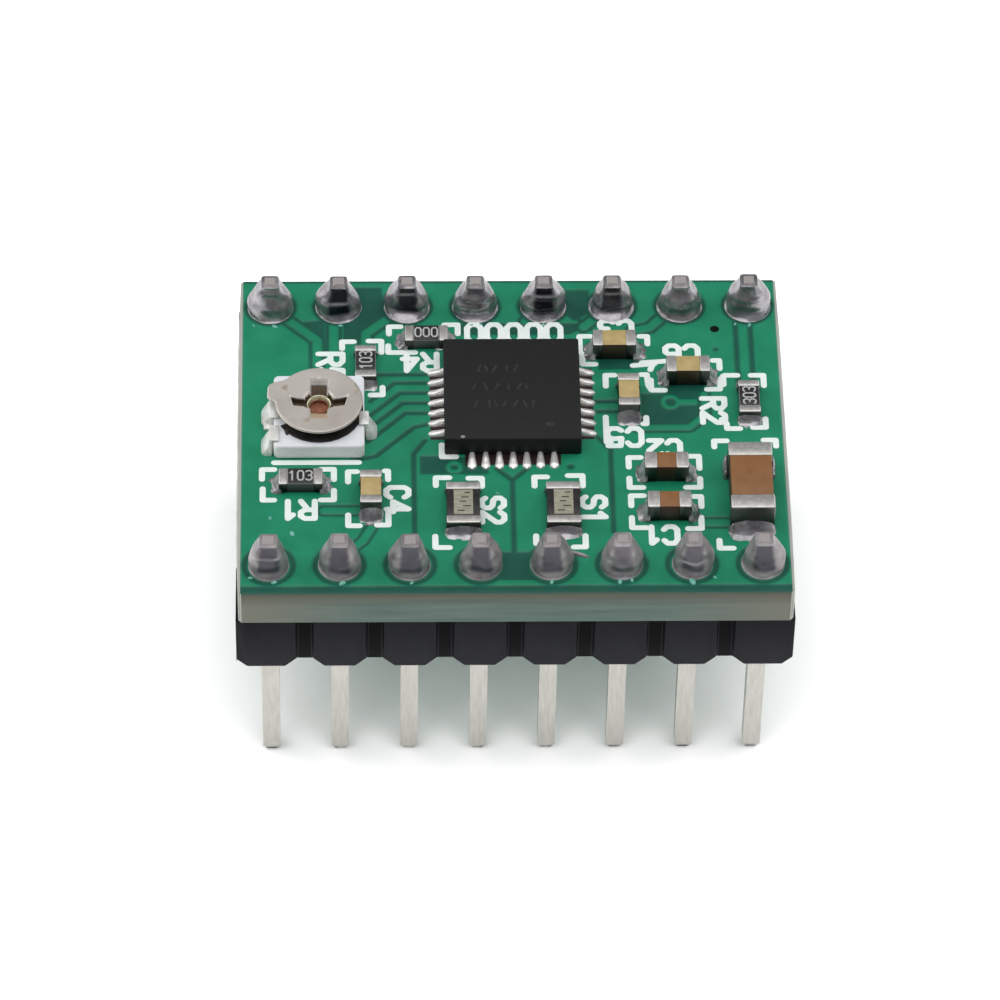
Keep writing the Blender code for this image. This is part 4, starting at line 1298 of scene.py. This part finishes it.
def make_rivet():
    """The hollow rivet through the rotor: a funnel over a dark bore."""
    x, y, _ = node_centre("trimmer_eyelet")
    top = node_heights("trimmer_eyelet")[1]
    outside = [(0.34, 0.02), (0.345, top - 0.22), (0.36, top - 0.1), (0.435, top - 0.035),
               (0.448, top - 0.015)]
    funnel = [(0.444, top - 0.003), (0.43, top), (0.41, top - 0.012), (0.37, top - 0.08),
              (0.345, top - 0.14), (0.335, top - 0.17)]
    bore = [(0.33, top - 0.2), (0.32, 0.72), (0.15, 0.7), (0.05, 0.71)]
    bm = bmesh.new()
    add_rings(bm, [[mm(*point, z) for point in oval(x, y, r, r, 48)] for r, z in outside + funnel + bore])
    bm.faces.ensure_lookup_table()
    for face in bm.faces:
        middle = face.calc_center_median() / MM
        inside = math.hypot(middle.x - x, middle.y - y) < 0.334 and middle.z > BOARD_TOP + 0.2
        # The bore's reddish brown also goes on the front of the rivet's lip, as a painted orange highlight.
        face.material_index = 1 if inside or middle.y < y - 0.31 else 0
    add_piece("rivet", bm, ["rivet_brass", "rivet_bore"], ["trimmer_eyelet"])


# Which way each terminal points, and how much further forward its foil reaches than its foot.
TERMINALS = {"left_rear": (-1, 0.32), "left_front": (-1, 0.0), "right": (1, 0.0)}


def make_trimmer():
    paint("trimmer_track", "carbon_film")
    paint("trimmer_wiper", "rivet_brass")
    softened("trimmer_base", "ceramic_base", 0.11, "white_ceramic", segments=4)
    make_rotor()
    make_rivet()
    bm = bmesh.new()
    for place, (side, stretch) in TERMINALS.items():
        node = "trimmer_terminal_" + place
        softened(node, node + "_tinned", 0.03, "trimmer_terminal", 2, stretch)
        reach, width, _ = node_size(node)
        add_fillet(bm, node_centre(node), True, side, side * (reach / 2 - 0.2), 0.3, width / 2 + 0.1, 0.6,
                   rng.uniform(0, 20), 1.0)
    add_piece("trimmer_solder", bm, ["trimmer_terminal"])
    make_film_end()


# The film's dark end: its middle from the rivet, its half length and width and height, and its turn.
FILM_END = (-1.17, -1.02)
FILM_END_SIZE = (0.22, 0.48, 0.08)
FILM_END_TURN = 8.0


def make_film_end():
    """The dark printed end of the film, by the front terminal on the left."""
    x, y, _ = node_centre("trimmer_eyelet")
    base_top = node_heights("trimmer_base")[1]
    bm = bmesh.new()
    half_x, half_y, rise = FILM_END_SIZE
    x, y = x + FILM_END[0], y + FILM_END[1]
    add_drop(bm, x, y, half_x, half_y, base_top + rise, FILM_END_TURN, seed=3.0, rows=9)
    for vert in bm.verts:
        vert.co.z = max(vert.co.z, (BOARD_TOP + base_top - 0.05) * MM)
    add_piece("film_end", bm, ["film_end"])


# ---------------------------------------------------------------- light, floor, camera


FLOOR_HALF = 600
# Soft boxes: place, aim and size in millimetres, and power.
LIGHTS = {
    "top_box": ((0, -10, 300), (0, 0, 8), (400, 300), 0.62),
    "left_box": ((-260, 90, 130), (0, 0, 8), (300, 220), 0.3),
    "right_box": ((260, 90, 130), (0, 0, 8), (300, 220), 0.22),
    "floor_box": ((0, -90, 280), (0, 0, 0), (400, 300), 1.0),
}


def make_floor():
    bm = bmesh.new()
    bmesh.ops.create_grid(bm, x_segments=4, y_segments=4, size=FLOOR_HALF * MM)
    Look("studio_white", (0.9, 0.9, 0.9), 0.9)
    mesh = to_mesh("studio_floor", bm)
    mesh.materials.append(MATERIALS["studio_white"])
    made = bpy.data.objects.new("studio_floor", mesh)
    bpy.context.scene.collection.objects.link(made)


def area_light(name, place, aim, size, power):
    """A soft box at a place, aimed at a point."""
    data = bpy.data.lights.new(name, "AREA")
    data.shape = "RECTANGLE"
    data.size, data.size_y = size[0] * MM, size[1] * MM
    data.energy = power
    made = bpy.data.objects.new(name, data)
    made.location = Vector(place) * MM
    made.rotation_euler = (Vector(aim) - Vector(place)).to_track_quat("-Z", "Y").to_euler()
    bpy.context.scene.collection.objects.link(made)


def make_light():
    """A grey room, a broad box overhead, a dimmer one at each side, and one for the floor alone."""
    world = bpy.data.worlds.new("studio")
    world.use_nodes = True
    room = world.node_tree.nodes["Background"].inputs
    room["Color"].default_value, room["Strength"].default_value = (1.0, 1.0, 1.0, 1.0), 0.28
    bpy.context.scene.world = world
    for name, values in LIGHTS.items():
        area_light(name, *values)
    only = bpy.data.collections.new("floor_only")
    only.objects.link(bpy.data.objects["studio_floor"])
    bpy.data.objects["floor_box"].light_linking.receiver_collection = only


def make_camera():
    yaw, lift = CAMERA_YAW, CAMERA_ELEVATION
    back = Vector((math.sin(yaw) * math.cos(lift), -math.cos(yaw) * math.cos(lift), math.sin(lift)))
    right = Vector((math.cos(yaw), math.sin(yaw), 0.0))
    up = back.cross(right)
    turn = Matrix((right, up, back)).transposed() @ Matrix.Rotation(CAMERA_ROLL, 3, "Z")
    data = bpy.data.cameras.new("camera")
    data.lens, data.sensor_width = CAMERA_LENS, SENSOR_WIDTH
    data.clip_start, data.clip_end = 0.01, 5.0
    made = bpy.data.objects.new("camera", data)
    made.location = (Vector(CAMERA_TARGET) + back * CAMERA_DISTANCE) * MM
    made.rotation_euler = turn.to_euler()
    bpy.context.scene.collection.objects.link(made)
    bpy.context.scene.camera = made


bpy.context.scene.view_settings.view_transform = "Standard"
make_materials()
make_camera()
make_floor()
make_light()
make_board()
make_printing()
for pin in PIN_NAMES:
    paint("header_pin_" + pin, "tinned_pin")
make_joints()
make_header_blocks()
make_driver_chip()
make_chip_parts()
make_trimmer()
